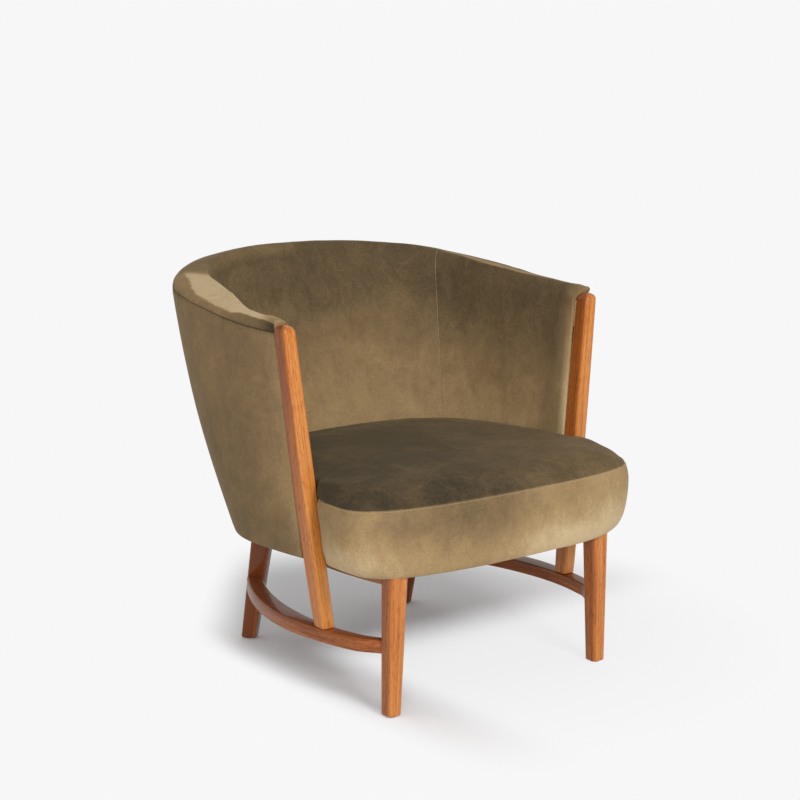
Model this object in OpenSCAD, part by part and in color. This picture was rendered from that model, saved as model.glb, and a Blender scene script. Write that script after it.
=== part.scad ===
// Tub chair: an upholstered barrel back held between two arm posts, on two wooden side frames.
// Front faces -Y, up is +Z, the origin is on the floor under the middle of the chair.

/* [Back shell] */
// Overall height, floor to the top of the back
back_h = 753; // [700:1:820]
// Height of the arm roll where it meets the posts
arm_h = 683; // [640:1:700]
// Width across the upper rim
rim_w = 769; // [745:1:820]
// Width across the lower edge of the shell
base_w = 653; // [640:1:680]
// Distance from the origin back to the rim
rim_back = 369; // [350:1:400]
// Distance from the origin back to the lower edge
base_back = 214; // [205:1:240]
// Height of the shell's lower edge above the floor
shell_z = 260; // [250:1:270]
// Padded thickness at the top of the wings
wall_top = 78; // [66:1:90]
// Padded thickness low in the middle of the back
wall_low = 84; // [70:1:95]
// Padded thickness beside the posts
wall_end = 31; // [29:0.5:36]
// Height of the padded roll above the outer seam
roll_h = 26; // [20:1:32]
// How far the outer cover swells at mid height
barrel_out = 13; // [6:1:18]
// Thickness of the outer cover with its lining
cover_t = 4; // [3:0.5:5]
// Thickness of the bent rails inside the shell
rail_t = 20; // [16:1:22]
// Height of the upper bent rail
top_rail_h = 50; // [36:1:70]
// Height of the lower bent rail
low_rail_h = 60; // [45:1:80]
// Width of each upright rib inside the shell
rib_w = 45; // [30:1:60]

/* [Seat] */
// Width across the front corners of the seat
seat_w = 662; // [655:1:700]
// Distance from the origin to the seat's front
seat_front = 369; // [362:1:385]
// Height of the middle of the seat
seat_h = 410; // [400:1:435]
// Height of the topstitched seam round the seat
seam_h = 374; // [364:1:380]
// Height of the seat's lower edge
seat_z = 246; // [242:1:250]
// How far the seat's side is drawn in at the bottom
seat_tuck = 29; // [24:1:32]
// Thickness of the padding in front of the seat board
seat_pad = 33; // [32:0.5:34]
// Thickness of the seat board
board_t = 20; // [15:1:25]
// Width of the opening in the seat board
opening_w = 320; // [260:1:330]
// Depth of the opening in the seat board
opening_d = 325; // [260:1:335]
// Width of each webbing strap
strap_w = 50; // [40:1:60]
// Thickness of a webbing strap
strap_t = 1.2; // [1:0.1:2]

/* [Legs] */
// Half the distance between the front feet
front_foot_x = 242; // [236:1:250]
// Distance from the origin forward to the front feet
front_foot_y = 314; // [306:1:316]
// Half the distance between the rear feet
rear_foot_x = 192; // [186:1:198]
// Distance from the origin back to the rear feet
rear_foot_y = 205; // [195:1:225]
// Width of a front leg at its top
front_leg_w = 38; // [34:1:40]
// Width of a rear leg at its top
rear_leg_w = 40; // [36:1:42]
// Width of every leg at the floor
foot_w = 28; // [24:1:32]
// Lean of the rear legs, mm of travel per mm of height
rear_rake = 0.228; // [0.15:0.001:0.26]
// Turn of the rear legs about their own length
rear_turn = 50; // [40:1:60]
// Thickness of a foot glide
glide_t = 2; // [1.5:0.5:4]

/* [Side frames] */
// Height of the stretcher's upper face
stretcher_z = 134.4; // [120:0.2:150]
// Height of the stretcher bar
stretcher_h = 24; // [20:1:28]
// Widest width of the stretcher bar
stretcher_w = 36; // [33:1:40]
// How far the stretcher bows out
stretcher_bow = 65; // [58:1:70]
// Height of a seat rail
seat_rail_h = 26; // [22:1:32]
// Thickness of a seat rail
seat_rail_t = 24; // [20:1:26]
// How far a seat rail bows out
seat_rail_bow = 36; // [28:1:40]

/* [Arm posts] */
// Width of a post across the chair
post_w = 26.4; // [24:0.2:29]
// Depth of a post, front to back
post_d = 30; // [27:0.5:33]
// Distance from the origin forward to the foot of a post
post_foot_y = 180; // [176:1:184]
// Sideways lean of a post, mm per mm of height
post_lean = 0.1203; // [0.11:0.0005:0.13]
// Backward lean of a post, mm per mm of height
post_rake = 0.036; // [0.02:0.001:0.045]
// Depth of a post's rounded top
post_nose = 12; // [8:1:14]

/* [Joints and fasteners] */
// Clearance between hard pieces
clear = 0.3; // [0.2:0.05:0.4]
// Clearance beside soft pieces
soft_clear = 0.6; // [0.4:0.1:1]
// Radius of the round tenon under a post
post_tenon_r = 7; // [5:0.5:8]
// Radius of the round tenons on rails and stretchers
tenon_r = 5; // [4:0.5:5.5]
// Length of every round tenon
tenon_len = 14; // [10:1:15]
// Radius of a frame bolt
bolt_r = 3; // [2.5:0.25:3.5]
// Radius of a frame bolt's head
bolt_head_r = 5.5; // [4.5:0.5:6]
// Height of a frame bolt's head
bolt_head_h = 4; // [3:0.5:5]

/* [Hidden] */
$fn = 40;

// Colours
wood = [0.72, 0.42, 0.2];
hard = [0.78, 0.66, 0.46];
velvet = [0.47, 0.4, 0.27];
steel = [0.6, 0.6, 0.62];

// Shares along the shell, from the middle of the back to a post
knot_shares = [0, 0.3, 0.5, 0.62, 0.74, 0.87, 1];
crest_shares = [1, 0.837, 0.589, 0.424, 0.249, 0.103, 0];
roll_shares = [1, 1, 0.87, 0.78, 0.87, 0.97, 0.97];
inset_shares = [0.535, 0.635, 0.8, 0.93, 0.72, 0.297, 0.068];
top_wall_shares = [0.745, 0.872, 1, 1, 0.617, 0.19, 0];
low_wall_shares = [1, 0.736, 0.472, 0.32, 0.21, 0.075, 0];
turn_share = 0.7;
rim_mid_share = 0.1255;
base_mid_share = 0.1255;
rim_power = 2.28;
base_power = 2.19;
barrel_power = 6;

// Derived heights
post_drop = 9.8;
post_tuck = 1.7;
leg_gap = 1;
leg_top_z = shell_z - leg_gap;
dust_t = 0.8;
dust_z = leg_top_z + clear;
board_z = dust_z + dust_t + clear;
board_top = board_z + board_t;
strap_z = board_top + clear;
strap_up_z = strap_z + strap_t + clear;
cushion_under = strap_up_z + strap_t + clear;
pad_z = board_top + clear;
back_in = cover_t + clear + rail_t;
pad_back = back_in + clear;
post_foot_z = stretcher_z + clear;
post_top_z = arm_h - post_drop;

// General helpers
function lerp(a, b, t) = a + (b - a) * t;
function knot(t, i = 0) =
    (i >= len(knot_shares) - 2 || t <= knot_shares[i + 1]) ? i : knot(t, i + 1);
function slope(v, i) =
    let (a = max(i - 1, 0), b = min(i + 1, len(v) - 1))
    i == 0 ? 0 : (v[b] - v[a]) / (knot_shares[b] - knot_shares[a]);
// Smooth value of a table of shares, at place t
function smooth(t, v) =
    let (
        i = knot(t),
        h = knot_shares[i + 1] - knot_shares[i],
        s = (t - knot_shares[i]) / h,
        a = slope(v, i) * h,
        b = slope(v, i + 1) * h
    )
    (2 * s * s * s - 3 * s * s + 1) * v[i] + (s * s * s - 2 * s * s + s) * a
    + (3 * s * s - 2 * s * s * s) * v[i + 1] + (s * s * s - s * s) * b;

// Side faces between rings of n points, wound clockwise from outside
function side_faces(rings, n) = [
    for (i = [0 : rings - 2], j = [0 : n - 1], k = [0, 1])
        let (a = i * n + j, b = i * n + (j + 1) % n)
        k == 0 ? [a, a + n, b + n] : [a, b + n, b]
];
function flat(l) = [for (r = l, p = r) p];

// Solid between matching rings; round tells whether the last ring meets the first
module loft(rings, round = false) {
    n = len(rings[0]);
    m = len(rings);
    caps = [[for (j = [0 : n - 1]) j], [for (j = [0 : n - 1]) m * n - 1 - j]];
    join = [
        for (j = [0 : n - 1], k = [0, 1])
            let (a = (m - 1) * n + j, b = (m - 1) * n + (j + 1) % n, c = j, d = (j + 1) % n)
            k == 0 ? [a, c, d] : [a, d, b]
    ];
    polyhedron(flat(rings), concat(side_faces(m, n), round ? join : caps), convexity = 6);
}

// Solid between matching rings, closed by a point at each end
module loft_points(first, rings, last) {
    n = len(rings[0]);
    m = len(rings);
    pts = concat(flat(rings), [first, last]);
    ends = [
        for (j = [0 : n - 1], k = [0, 1])
            k == 0 ? [m * n, j, (j + 1) % n] : [m * n + 1, (m - 1) * n + (j + 1) % n, (m - 1) * n + j]
    ];
    polyhedron(pts, concat(side_faces(m, n), ends), convexity = 6);
}

// Rounded rectangle in plan, counter-clockwise
function corner_angles(seg) = [for (q = [0 : 3], i = [0 : seg]) [q, 90 * q + 90 * i / seg]];
function rounded(w, d, r, seg = 3) = [
    for (c = corner_angles(seg))
        let (sx = (c[0] == 0 || c[0] == 3) ? 1 : -1, sy = c[0] < 2 ? 1 : -1)
        [sx * (w / 2 - r) + r * cos(c[1]), sy * (d / 2 - r) + r * sin(c[1])]
];
function turned(p, a) = [p.x * cos(a) - p.y * sin(a), p.x * sin(a) + p.y * cos(a)];

module side(s) {
    mirror([s < 0 ? 1 : 0, 0, 0]) children();
}

// Round bar from point a to point b
module bar(a, b, r) {
    v = b - a;
    l = norm(v);
    translate(a) rotate([0, acos(v.z / l), atan2(v.y, v.x)]) cylinder(h = l, r = r);
}

// Round tenon along a line, or its hole with room to spare
module tenon(line, grow = 0) {
    v = line[1] - line[0];
    bar(line[0], line[1] + v / norm(v) * grow, tenon_r + grow / 2);
}

// Posts: a leaning bar whose sections are level
function post_x(z) = bowed_x(stretch_line, -post_foot_y) + (z - stretcher_z) * post_lean;
function post_y(z) = -post_foot_y + (z - stretcher_z) * post_rake;

// Front and rear legs
front_splay_share = 0.0274;
front_rake_share = -0.0069;
rear_splay_share = -0.011;
front_round_share = 0.27;
rear_round_share = 0.17;
function front_axis(z) = [front_foot_x - z * front_splay_share, -front_foot_y + z * front_rake_share, z];
function rear_axis(z) = [rear_foot_x + z * rear_splay_share, rear_foot_y - z * rear_rake, z];
function leg_w(top_w, z) = lerp(foot_w, top_w, z / leg_top_z);
foot_round = 4;
foot_round_shares = [[0, 1], [0.3, 0.3], [1, 0]];

module leg(axis_at, top_w, round_share, turn, grow = 0) {
    levels = concat(
        [for (s = foot_round_shares) [glide_t + foot_round * s[0], foot_round * s[1]]],
        [[stretcher_z, 0], [leg_top_z + grow, 0]]
    );
    loft([
        for (l = levels)
            let (
                w = leg_w(top_w, l[0]) - 2 * l[1] + 2 * grow,
                c = lerp(axis_at[0], axis_at[1], l[0] / leg_top_z)
            )
            [
                for (p = rounded(w, w, w * round_share, 4))
                    let (q = turned(p, turn))
                    [c.x + q.x, c.y + q.y, l[0]]
            ]
    ]);
}
module front_leg_bar(grow = 0) {
    leg([front_axis(0), front_axis(leg_top_z)], front_leg_w, front_round_share, 0, grow);
}
module rear_leg_bar(grow = 0) {
    leg([rear_axis(0), rear_axis(leg_top_z)], rear_leg_w, rear_round_share, rear_turn, grow);
}

// Bowed bars run from the rear leg to the front leg; a line holds its two ends and its bow
bow_power = 0.8;
bow_steps = 22;
bow_ease_share = 0.35;
dir_share = 0.05;
even_shares = [1, 1, 1, 1, 1, 1, 1];
function bowed(line, t) = [
    lerp(line[0].x, line[1].x, t) + line[2] * pow(max(sin(180 * t), 0), bow_power),
    lerp(line[0].y, line[1].y, t),
    line[0].z
];
function bowed_x(line, y) = bowed(line, (line[0].y - y) / (line[0].y - line[1].y)).x;
function bowed_dir(line, t) =
    let (v = bowed(line, min(t + dir_share, 1)) - bowed(line, max(t - dir_share, 0)))
    v / norm(v);
function bow_t(i) = let (s = i / bow_steps) lerp(s, (1 - cos(180 * s)) / 2, bow_ease_share);
module bowed_bar(line, w, h, r, shares) {
    loft([
        for (i = [0 : bow_steps])
            let (t = bow_t(i), d = bowed_dir(line, t), c = bowed(line, t))
            [for (p = rounded(w * smooth(t, shares), h, r, 2)) c + [-d.y * p.x, d.x * p.x, p.y]]
    ]);
}

// Round tenon lines, from inside a bar to inside a leg
tenon_root = 9;
function tenon_line(from, dir, face) = [from + dir * (face + tenon_root), from + dir * (face - tenon_len)];

// Stretchers, widest near the rear leg
stretch_mid_z = stretcher_z - stretcher_h / 2;
front_here = leg_w(front_leg_w, stretch_mid_z);
rear_here = leg_w(rear_leg_w, stretch_mid_z);
rear_face = [sin(rear_turn), -cos(rear_turn), 0];
stretch_front_share = 0.22;
stretch_front = front_axis(stretch_mid_z) + [front_here * stretch_front_share, 0, 0];
stretch_back_share = 0.35;
stretch_back = rear_axis(stretch_mid_z) + rear_here * stretch_back_share * rear_face;
stretch_line = [stretch_back, stretch_front, stretcher_bow];
stretch_width_shares = [0.84, 0.98, 1, 0.9, 0.79, 0.72, 0.42];
stretch_round = 2.5;
tenon_front = tenon_line(stretch_front, [0, 1, 0], front_here / 2);
tenon_back = tenon_line(stretch_back, rear_face, rear_here * (1 / 2 - stretch_back_share));

// Seat rails, as thick all along
rail_mid_z = leg_top_z - seat_rail_h / 2;
rail_front = front_axis(rail_mid_z);
rail_back = rear_axis(rail_mid_z);
rail_line = [rail_back, rail_front, seat_rail_bow];
rail_round = 2;
rail_face_share = 0.55;
rail_tenon_front = tenon_line(rail_front, -bowed_dir(rail_line, 1), leg_w(front_leg_w, rail_mid_z) / 2);
rail_tenon_back =
    tenon_line(rail_back, bowed_dir(rail_line, 0), leg_w(rear_leg_w, rail_mid_z) * rail_face_share);

// Shell: plan curves at the lower edge and at the outer seam
end_z = arm_h - roll_h * roll_shares[len(roll_shares) - 1];
function post_back(z) = post_y(z) + post_d / 2 + clear;
function end_pt(z, tuck) = [post_x(z) + post_w / 2 - tuck, post_back(z)];
rim_end = end_pt(end_z, post_tuck);
base_end = end_pt(shell_z, -post_tuck);
function plan(u, a, ym, yb, n, e) =
    let (f = (u - turn_share) / (1 - turn_share), q = 90 * u / turn_share)
    u <= turn_share
        ? [a * pow(sin(q), 2 / n), ym + (yb - ym) * pow(cos(q), 2 / n)]
        : [a - (a - e.x) * f * f, ym + (e.y - ym) * f];
rim_mid = rim_back * rim_mid_share;
base_mid = -base_back * base_mid_share;
function rim_xy(u) = plan(u, rim_w / 2, rim_mid, rim_back, rim_power, rim_end);
function base_xy(u) = plan(u, base_w / 2, base_mid, base_back, base_power, base_end);
function crest_z(u) = lerp(arm_h, back_h, smooth(u, crest_shares));
function seam_z(u) = crest_z(u) - roll_h * smooth(u, roll_shares);
function level(u, z) = (z - shell_z) / (seam_z(u) - shell_z);
function run(u) = max(0, (u - turn_share) / (1 - turn_share));
step_share = 0.004;
function out_dir(u) =
    let (
        v = rim_xy(min(u + step_share, 1)) - rim_xy(max(u - step_share, 0)),
        n = u < step_share ? [0, 1] : [-v.y, v.x * (1 - run(u) * run(u))]
    )
    n / norm(n);
// Point of the shell at share u and height z, depth inward from the straight outer line
function shell_pt(u, z, depth) =
    let (
        v = level(u, z),
        c = min(v, 1),
        a = base_xy(u),
        b = rim_xy(u),
        n = out_dir(u),
        w = lerp(c, v, run(u))
    )
    [a.x + (b.x - a.x) * lerp(c, v, run(u)) - n.x * depth, a.y + (b.y - a.y) * w - n.y * depth, z];
function both(s, z, depth) = let (q = shell_pt(abs(s), z, depth)) [s < 0 ? -q.x : q.x, q.y, q.z];
function swell(u, z) = let (v = level(u, z)) barrel_out * 4 * v * (1 - v) * (1 - pow(u, barrel_power));
function top_wall(u) = lerp(wall_end, wall_top, smooth(u, top_wall_shares));
function low_wall(u) = lerp(wall_end, wall_low, smooth(u, low_wall_shares));
function wall(u, z) = lerp(low_wall(u), top_wall(u), min(max(level(u, z), 0), 1));

shell_steps = 56;
function station(i, n = shell_steps) = 2 * i / n - 1;

// Inside back pad: roll over the rim, inner face, straight back
roll_steps = 5;
turn_steps = 3;
face_steps = 5;
function pad_ring(s) =
    let (
        u = abs(s),
        zs = seam_z(u) + clear,
        zc = crest_z(u),
        ins = wall_top * smooth(u, inset_shares),
        tt = top_wall(u),
        zi = zc - roll_h
    )
    concat(
        [
            for (i = [0 : roll_steps])
                let (a = 90 * i / roll_steps)
                both(s, zs + (zc - zs) * sin(a), ins * (1 - cos(a)))
        ],
        [
            for (i = [1 : turn_steps])
                let (a = 90 * i / turn_steps)
                both(s, zc - roll_h * (1 - cos(a)), ins + (tt - ins) * sin(a))
        ],
        [
            for (i = [1 : face_steps])
                let (z = lerp(zi, pad_z, i / face_steps))
                both(s, z, wall(u, z))
        ],
        [both(s, pad_z, pad_back), both(s, zs, pad_back)]
    );

// Outer cover: a thin lining and cloth that swell at mid height
cover_steps = 5;
function cover_ring(s) =
    let (u = abs(s), zs = seam_z(u))
    concat(
        [
            for (i = [0 : cover_steps])
                let (z = lerp(shell_z, zs, i / cover_steps))
                both(s, z, -swell(u, z))
        ],
        [
            for (i = [0 : cover_steps])
                let (z = lerp(zs, shell_z, i / cover_steps))
                both(s, z, cover_t - swell(u, z))
        ]
    );
function rail_ring(s, z0, z1) =
    let (u = abs(s), d = cover_t + clear)
    [
        both(s, z0, d - swell(u, z0)),
        both(s, z1, d - swell(u, z1)),
        both(s, z1, back_in),
        both(s, z0, back_in)
    ];

// Upright ribs between the bent rails
rib_shares = [0, 0.27, 0.5, 0.7, 0.9];
rib_steps = 4;
module rib(u) {
    near = max(u - step_share, 0);
    far = u + step_share;
    half = rib_w / 2 * (far - near) / norm(rim_xy(far) - rim_xy(near));
    at = [u - half, u + half];
    loft([
        for (i = [0 : rib_steps])
            [
                for (c = [[1, 0], [1, 1], [0, 1], [0, 0]])
                    let (
                        s = at[c[0]],
                        lo = shell_z + low_rail_h + clear,
                        hi = seam_z(max(abs(at[0]), abs(at[1]))) - top_rail_h - clear,
                        z = lerp(lo, hi, i / rib_steps)
                    )
                    both(s, z, c[1] == 1 ? cover_t + clear - swell(abs(s), z) : back_in)
            ]
    ]);
}

// Seat outline: front and corners by formula, the rest follows the shell's inner face
seat_mid = 270;
seat_power = 2.9;
ear_x = 300;
ear_power = 1.6;
ear_depth = 76;
neck_gap = 1.5;
front_steps = 9;
ear_steps = 3;
wall_shares = [1, 0.9, 0.8, 0.7, 0.6, 0.5, 0.4, 0.3, 0.2, 0.1, 0];
function front_pt(i, inset) =
    let (q = 90 * i / front_steps)
    [
        (seat_w / 2 - inset) * pow(sin(q), 2 / seat_power),
        -seat_mid - (seat_front - seat_mid - inset) * pow(cos(q), 2 / seat_power)
    ];
function ear_pt(i, inset, steps = ear_steps) =
    let (q = 90 * i / steps)
    [
        ear_x + (seat_w / 2 - ear_x - inset) * pow(cos(q), 2 / ear_power),
        -seat_mid + (ear_depth - inset) * pow(sin(q), 2 / ear_power)
    ];
function wall_in(u, z, inset) = shell_pt(u, z, wall(u, z) + soft_clear + inset);
// Half outline from the middle of the front to the middle of the back
function seat_half(z, zr, inset, inset_r) = concat(
    [for (i = [0 : front_steps]) let (p = front_pt(i, inset)) [p.x, p.y, z]],
    [for (i = [1 : ear_steps]) let (p = ear_pt(i, inset)) [p.x, p.y, z]],
    [[wall_in(1, zr, inset_r).x, -seat_mid + ear_depth + neck_gap, zr]],
    [for (u = wall_shares) wall_in(u, zr, inset_r)]
);
function whole(h) = concat(h, [for (i = [len(h) - 2 : -1 : 1]) [-h[i].x, h[i].y, h[i].z]]);

side_z_shares = [0, 0.027, 0.094, 0.22, 0.42, 0.66, 0.83, 1];
side_in_shares = [1, 0.77, 0.47, 0.23, 0.07, 0, 0.02, 0.2];
rear_in_shares = [1, 0.67, 0.33, 0, 0, 0, 0, 0.1];
rear_tuck = 24;
shoulder_h_shares = [0.41, 0.76, 1];
shoulder_in_shares = [0.38, 0.68, 1];
shoulder_rear_shares = [0.1, 0.22, 0.45];
shoulder_h_share = 0.8;
shoulder_in = 40;
crown_shares = [0.25, 0.5, 0.76];
crown_mid = 60;
shoulder_h = (seat_h - seam_h) * shoulder_h_share;
under_shares = [2, 1.5];
seat_rings = concat(
    [
        whole(seat_half(cushion_under, cushion_under, seat_pad, rear_tuck * under_shares[0])),
        whole(seat_half(seat_z, cushion_under, seat_pad, rear_tuck * under_shares[1]))
    ],
    [
        for (i = [0 : len(side_z_shares) - 1])
            let (
                z = lerp(seat_z, seam_h, side_z_shares[i]),
                rear_z = max(z, cushion_under)
            )
            whole(seat_half(z, rear_z, seat_tuck * side_in_shares[i], rear_tuck * rear_in_shares[i]))
    ],
    [
        for (i = [0 : len(shoulder_h_shares) - 1])
            let (
                z = seam_h + shoulder_h * shoulder_h_shares[i],
                side_in = shoulder_in * shoulder_in_shares[i]
            )
            whole(seat_half(z, z, side_in, shoulder_in * shoulder_rear_shares[i]))
    ]
);
crown_blend = 1.5;
crown_power = 2.6;
// Point of a plain rounded outline in the direction of p, seen from the crown's middle
function round_pt(p) =
    let (
        v = [p.x, p.y + crown_mid],
        d = v / norm(v),
        a = seat_w / 2 - shoulder_in,
        b = d.y < 0 ? seat_front - shoulder_in - crown_mid : base_back + crown_mid
    )
    d * reach(d, a, b, crown_power);
function crown_ring(share) = [
    for (p = seat_rings[len(seat_rings) - 1])
        let (
            own = [p.x, p.y + crown_mid],
            q = lerp(own, round_pt(p), min(1, share * crown_blend)) * (1 - share)
        )
        [q.x, q.y - crown_mid, lerp(seam_h + shoulder_h, seat_h, share * (2 - share))]
];

// Seat board: outline just inside the cushion's pocket, widened behind to meet the lower rail
board_in = seat_pad + soft_clear;
board_neck_x = 255;
board_neck_front = 207;
board_neck_back = 148;
board_step = 7;
board_wall_shares = [0.92, 0.85, 0.77, 0.7, 0.6, 0.5, 0.4, 0.3, 0.2, 0.1, 0];
function board_half(z, more) = concat(
    [for (i = [0 : front_steps]) let (p = front_pt(i, board_in + more)) [p.x, p.y, z]],
    [let (p = ear_pt(1, board_in + more, 2)) [p.x, max(p.y, -seat_mid), z]],
    [
        [board_neck_x + board_step - more, -board_neck_front - more, z],
        [board_neck_x - more, -board_neck_back, z]
    ],
    [for (u = board_wall_shares) let (p = shell_pt(u, z, pad_back + more)) [p.x, p.y, z]]
);
opening_power = 5;
opening_mid = 92;
// Distance in direction d to a rounded rectangle of half sizes a and b
function reach(d, a, b, n) = pow(pow(abs(d.x) / a, n) + pow(abs(d.y) / b, n), -1 / n);
function opening_pt(p) =
    let (
        v = [p.x, p.y + opening_mid],
        d = v / norm(v),
        r = reach(d, opening_w / 2, opening_d / 2, opening_power)
    )
    [d.x * r, d.y * r - opening_mid, p.z];
function opening_ring(l) = [for (p = l) opening_pt(p)];

// Fastener places
bolt_y_shares = [0.16, 0.5, 0.84];
bolt_sink = 12;
bolt_cover = 3;
function bolt_y(s) = lerp(rail_front.y, rail_back.y, s);
back_bolt_shares = [0, 0.36, 0.66];
back_bolt_len = 58;
dowel_r = 4;
dowel_len = 13;
low_dowel_share = 0.62;
low_dowel_z = shell_z + low_rail_h * low_dowel_share;
top_dowel_z = end_z - top_rail_h / 2;
glide_r = 9;
glide_pin_r = 1.5;
glide_pin_h = 9;
overrun = 1;

module seat_cushion() {
    color(velvet) difference() {
        loft_points(
            [0, -opening_mid, cushion_under],
            concat(seat_rings, [for (s = crown_shares) crown_ring(s)]),
            [0, -crown_mid, seat_h]
        );
        for (s = [-1, 1]) side(s) front_leg_bar(soft_clear);
    }
}

module inside_back_pad() {
    color(velvet) loft([for (i = [0 : shell_steps]) pad_ring(station(i))]);
}

module outside_back_cover() {
    color(velvet * 0.9) loft([for (i = [0 : shell_steps]) cover_ring(station(i))]);
}

// A dowel across the joint between a post and a bent rail
module dowel(z, grow = 0) {
    middle = [post_x(z), post_back(z), z];
    half = [0, dowel_len + grow, 0];
    bar(middle - half, middle + half, dowel_r + grow / 2);
}

module back_top_rail() {
    color(hard) difference() {
        loft([
            for (i = [0 : shell_steps])
                let (s = station(i), z = seam_z(abs(s)))
                rail_ring(s, z - top_rail_h, z)
        ]);
        for (s = [-1, 1]) side(s) dowel(top_dowel_z, clear);
    }
}

module back_bottom_rail() {
    color(hard) difference() {
        loft([for (i = [0 : shell_steps]) rail_ring(station(i), shell_z, shell_z + low_rail_h)]);
        for (s = [-1, 1]) side(s) dowel(low_dowel_z, clear);
        for (s = concat(back_bolt_shares, -back_bolt_shares)) back_bolt(s, clear);
    }
}

module back_ribs() {
    color(hard) for (u = rib_shares) {
        rib(u);
        if (u > 0) side(-1) rib(u);
    }
}

module seat_board() {
    color(hard) difference() {
        loft([
            whole(board_half(board_z, 0)),
            whole(board_half(board_top, 0)),
            opening_ring(whole(board_half(board_top, 0))),
            opening_ring(whole(board_half(board_z, 0)))
        ], true);
        for (s = [-1, 1], t = bolt_y_shares) side(s) frame_bolt(t, clear / 2);
        for (s = concat(back_bolt_shares, -back_bolt_shares)) back_bolt(s, clear);
    }
}

cross_strap_shares = [-0.75, -0.37, 0, 0.37, 0.75];
long_strap_shares = [-0.66, -0.22, 0.22, 0.66];
strap_hold = 32;
module seat_webbing() {
    across = opening_w + 2 * strap_hold;
    along = opening_d + 2 * strap_hold;
    color([0.3, 0.27, 0.22]) translate([0, -opening_mid, 0]) {
        for (s = cross_strap_shares)
            translate([-across / 2, s * opening_d / 2 - strap_w / 2, strap_z])
                cube([across, strap_w, strap_t]);
        for (s = long_strap_shares)
            translate([s * opening_w / 2 - strap_w / 2, -along / 2, strap_up_z])
                cube([strap_w, along, strap_t]);
    }
}

dust_in = 14;
module dust_cover() {
    color([0.12, 0.12, 0.13]) difference() {
        translate([0, 0, dust_z])
            linear_extrude(dust_t) polygon([for (p = whole(board_half(board_z, dust_in))) [p.x, p.y]]);
        for (s = [-1, 1], t = bolt_y_shares) side(s) frame_bolt(t, clear);
    }
}

module front_leg(s) {
    color(wood) side(s) difference() {
        front_leg_bar();
        tenon(tenon_front, clear);
        tenon(rail_tenon_front, clear);
        glide(front_axis(0), clear / 2);
    }
}

module rear_leg(s) {
    color(wood) side(s) difference() {
        rear_leg_bar();
        tenon(tenon_back, clear);
        tenon(rail_tenon_back, clear);
        glide(rear_axis(0), clear / 2);
    }
}

module side_stretcher(s) {
    color(wood) side(s) union() {
        difference() {
            bowed_bar(stretch_line, stretcher_w, stretcher_h, stretch_round, stretch_width_shares);
            front_leg_bar(clear);
            rear_leg_bar(clear);
            translate([post_x(stretcher_z), post_y(stretcher_z), stretcher_z - tenon_len - clear])
                cylinder(h = tenon_len + clear + overrun, r = post_tenon_r + clear / 2);
        }
        tenon(tenon_front);
        tenon(tenon_back);
    }
}

post_round = 5.5;
post_foot_round = 2;
nose_steps = 4;
nose_turn = 84;
module arm_post(s) {
    body = post_top_z - post_nose;
    levels = concat(
        [[post_foot_z, post_foot_round], [post_foot_z + post_foot_round, 0], [body, 0]],
        [
            for (i = [1 : nose_steps])
                let (a = nose_turn * i / nose_steps)
                [body + post_nose * sin(a), post_nose * (1 - cos(a))]
        ]
    );
    color(wood) side(s) difference() {
        union() {
            loft([
                for (l = levels)
                    let (
                        w = post_w - 2 * l[1],
                        d = post_d - 2 * l[1],
                        r = min(max(post_round - l[1] / 2, post_foot_round), w / 2 - clear)
                    )
                    [for (p = rounded(w, d, r, 3)) [post_x(l[0]) + p.x, post_y(l[0]) + p.y, l[0]]]
            ]);
            translate([post_x(stretcher_z), post_y(stretcher_z), stretcher_z - tenon_len])
                cylinder(h = tenon_len + post_foot_round, r = post_tenon_r);
        }
        for (z = [low_dowel_z, top_dowel_z]) dowel(z, clear);
    }
}

module seat_rail(s) {
    color(wood) side(s) union() {
        difference() {
            bowed_bar(rail_line, seat_rail_t, seat_rail_h, rail_round, even_shares);
            front_leg_bar(clear);
            rear_leg_bar(clear);
            for (t = bolt_y_shares) frame_bolt(t, clear / 2);
        }
        tenon(rail_tenon_front);
        tenon(rail_tenon_back);
    }
}

// A glide under a foot, with its pin
module glide(c, grow = 0) {
    translate([c.x, c.y, 0]) {
        cylinder(h = glide_t, r = glide_r);
        cylinder(h = glide_t + glide_pin_h + grow, r = glide_pin_r + grow);
    }
}
module foot_glides() {
    color([0.15, 0.15, 0.15]) for (s = [-1, 1], c = [front_axis(0), rear_axis(0)]) side(s) glide(c);
}

// A bolt up through a seat rail into the board
module frame_bolt(t, grow = 0) {
    lo = leg_top_z - seat_rail_h + bolt_sink;
    translate([bowed_x(rail_line, bolt_y(t)), bolt_y(t), lo]) {
        cylinder(h = board_top - bolt_cover - lo + grow, r = bolt_r + grow);
        translate([0, 0, grow > 0 ? -bolt_sink - overrun : -bolt_head_h])
            cylinder(h = grow > 0 ? bolt_sink + overrun : bolt_head_h, r = bolt_head_r + grow);
    }
}
module frame_bolts() {
    color(steel) for (s = [-1, 1], t = bolt_y_shares) side(s) frame_bolt(t);
}

// A bolt through the lower rail into the edge of the board
head_gap = 2.6;
module back_bolt(s, grow = 0) {
    u = abs(s);
    z = board_z + board_t / 2;
    a = both(s, z, cover_t + clear + head_gap + bolt_head_h - swell(u, z));
    n = [s < 0 ? -out_dir(u).x : out_dir(u).x, out_dir(u).y, 0];
    bar(a + n * bolt_head_h, a - n * (back_bolt_len + grow), bolt_r + grow / 2);
    bar(a + n * (bolt_head_h + (grow > 0 ? cover_t + overrun : 0)), a, bolt_head_r + grow);
}
module back_bolts() {
    color(steel) {
        for (s = back_bolt_shares) back_bolt(s);
        for (s = back_bolt_shares) if (s > 0) back_bolt(-s);
    }
}

module post_dowels() {
    color(hard) for (s = [-1, 1], z = [low_dowel_z, top_dowel_z])
        side(s) dowel(z);
}

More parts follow.
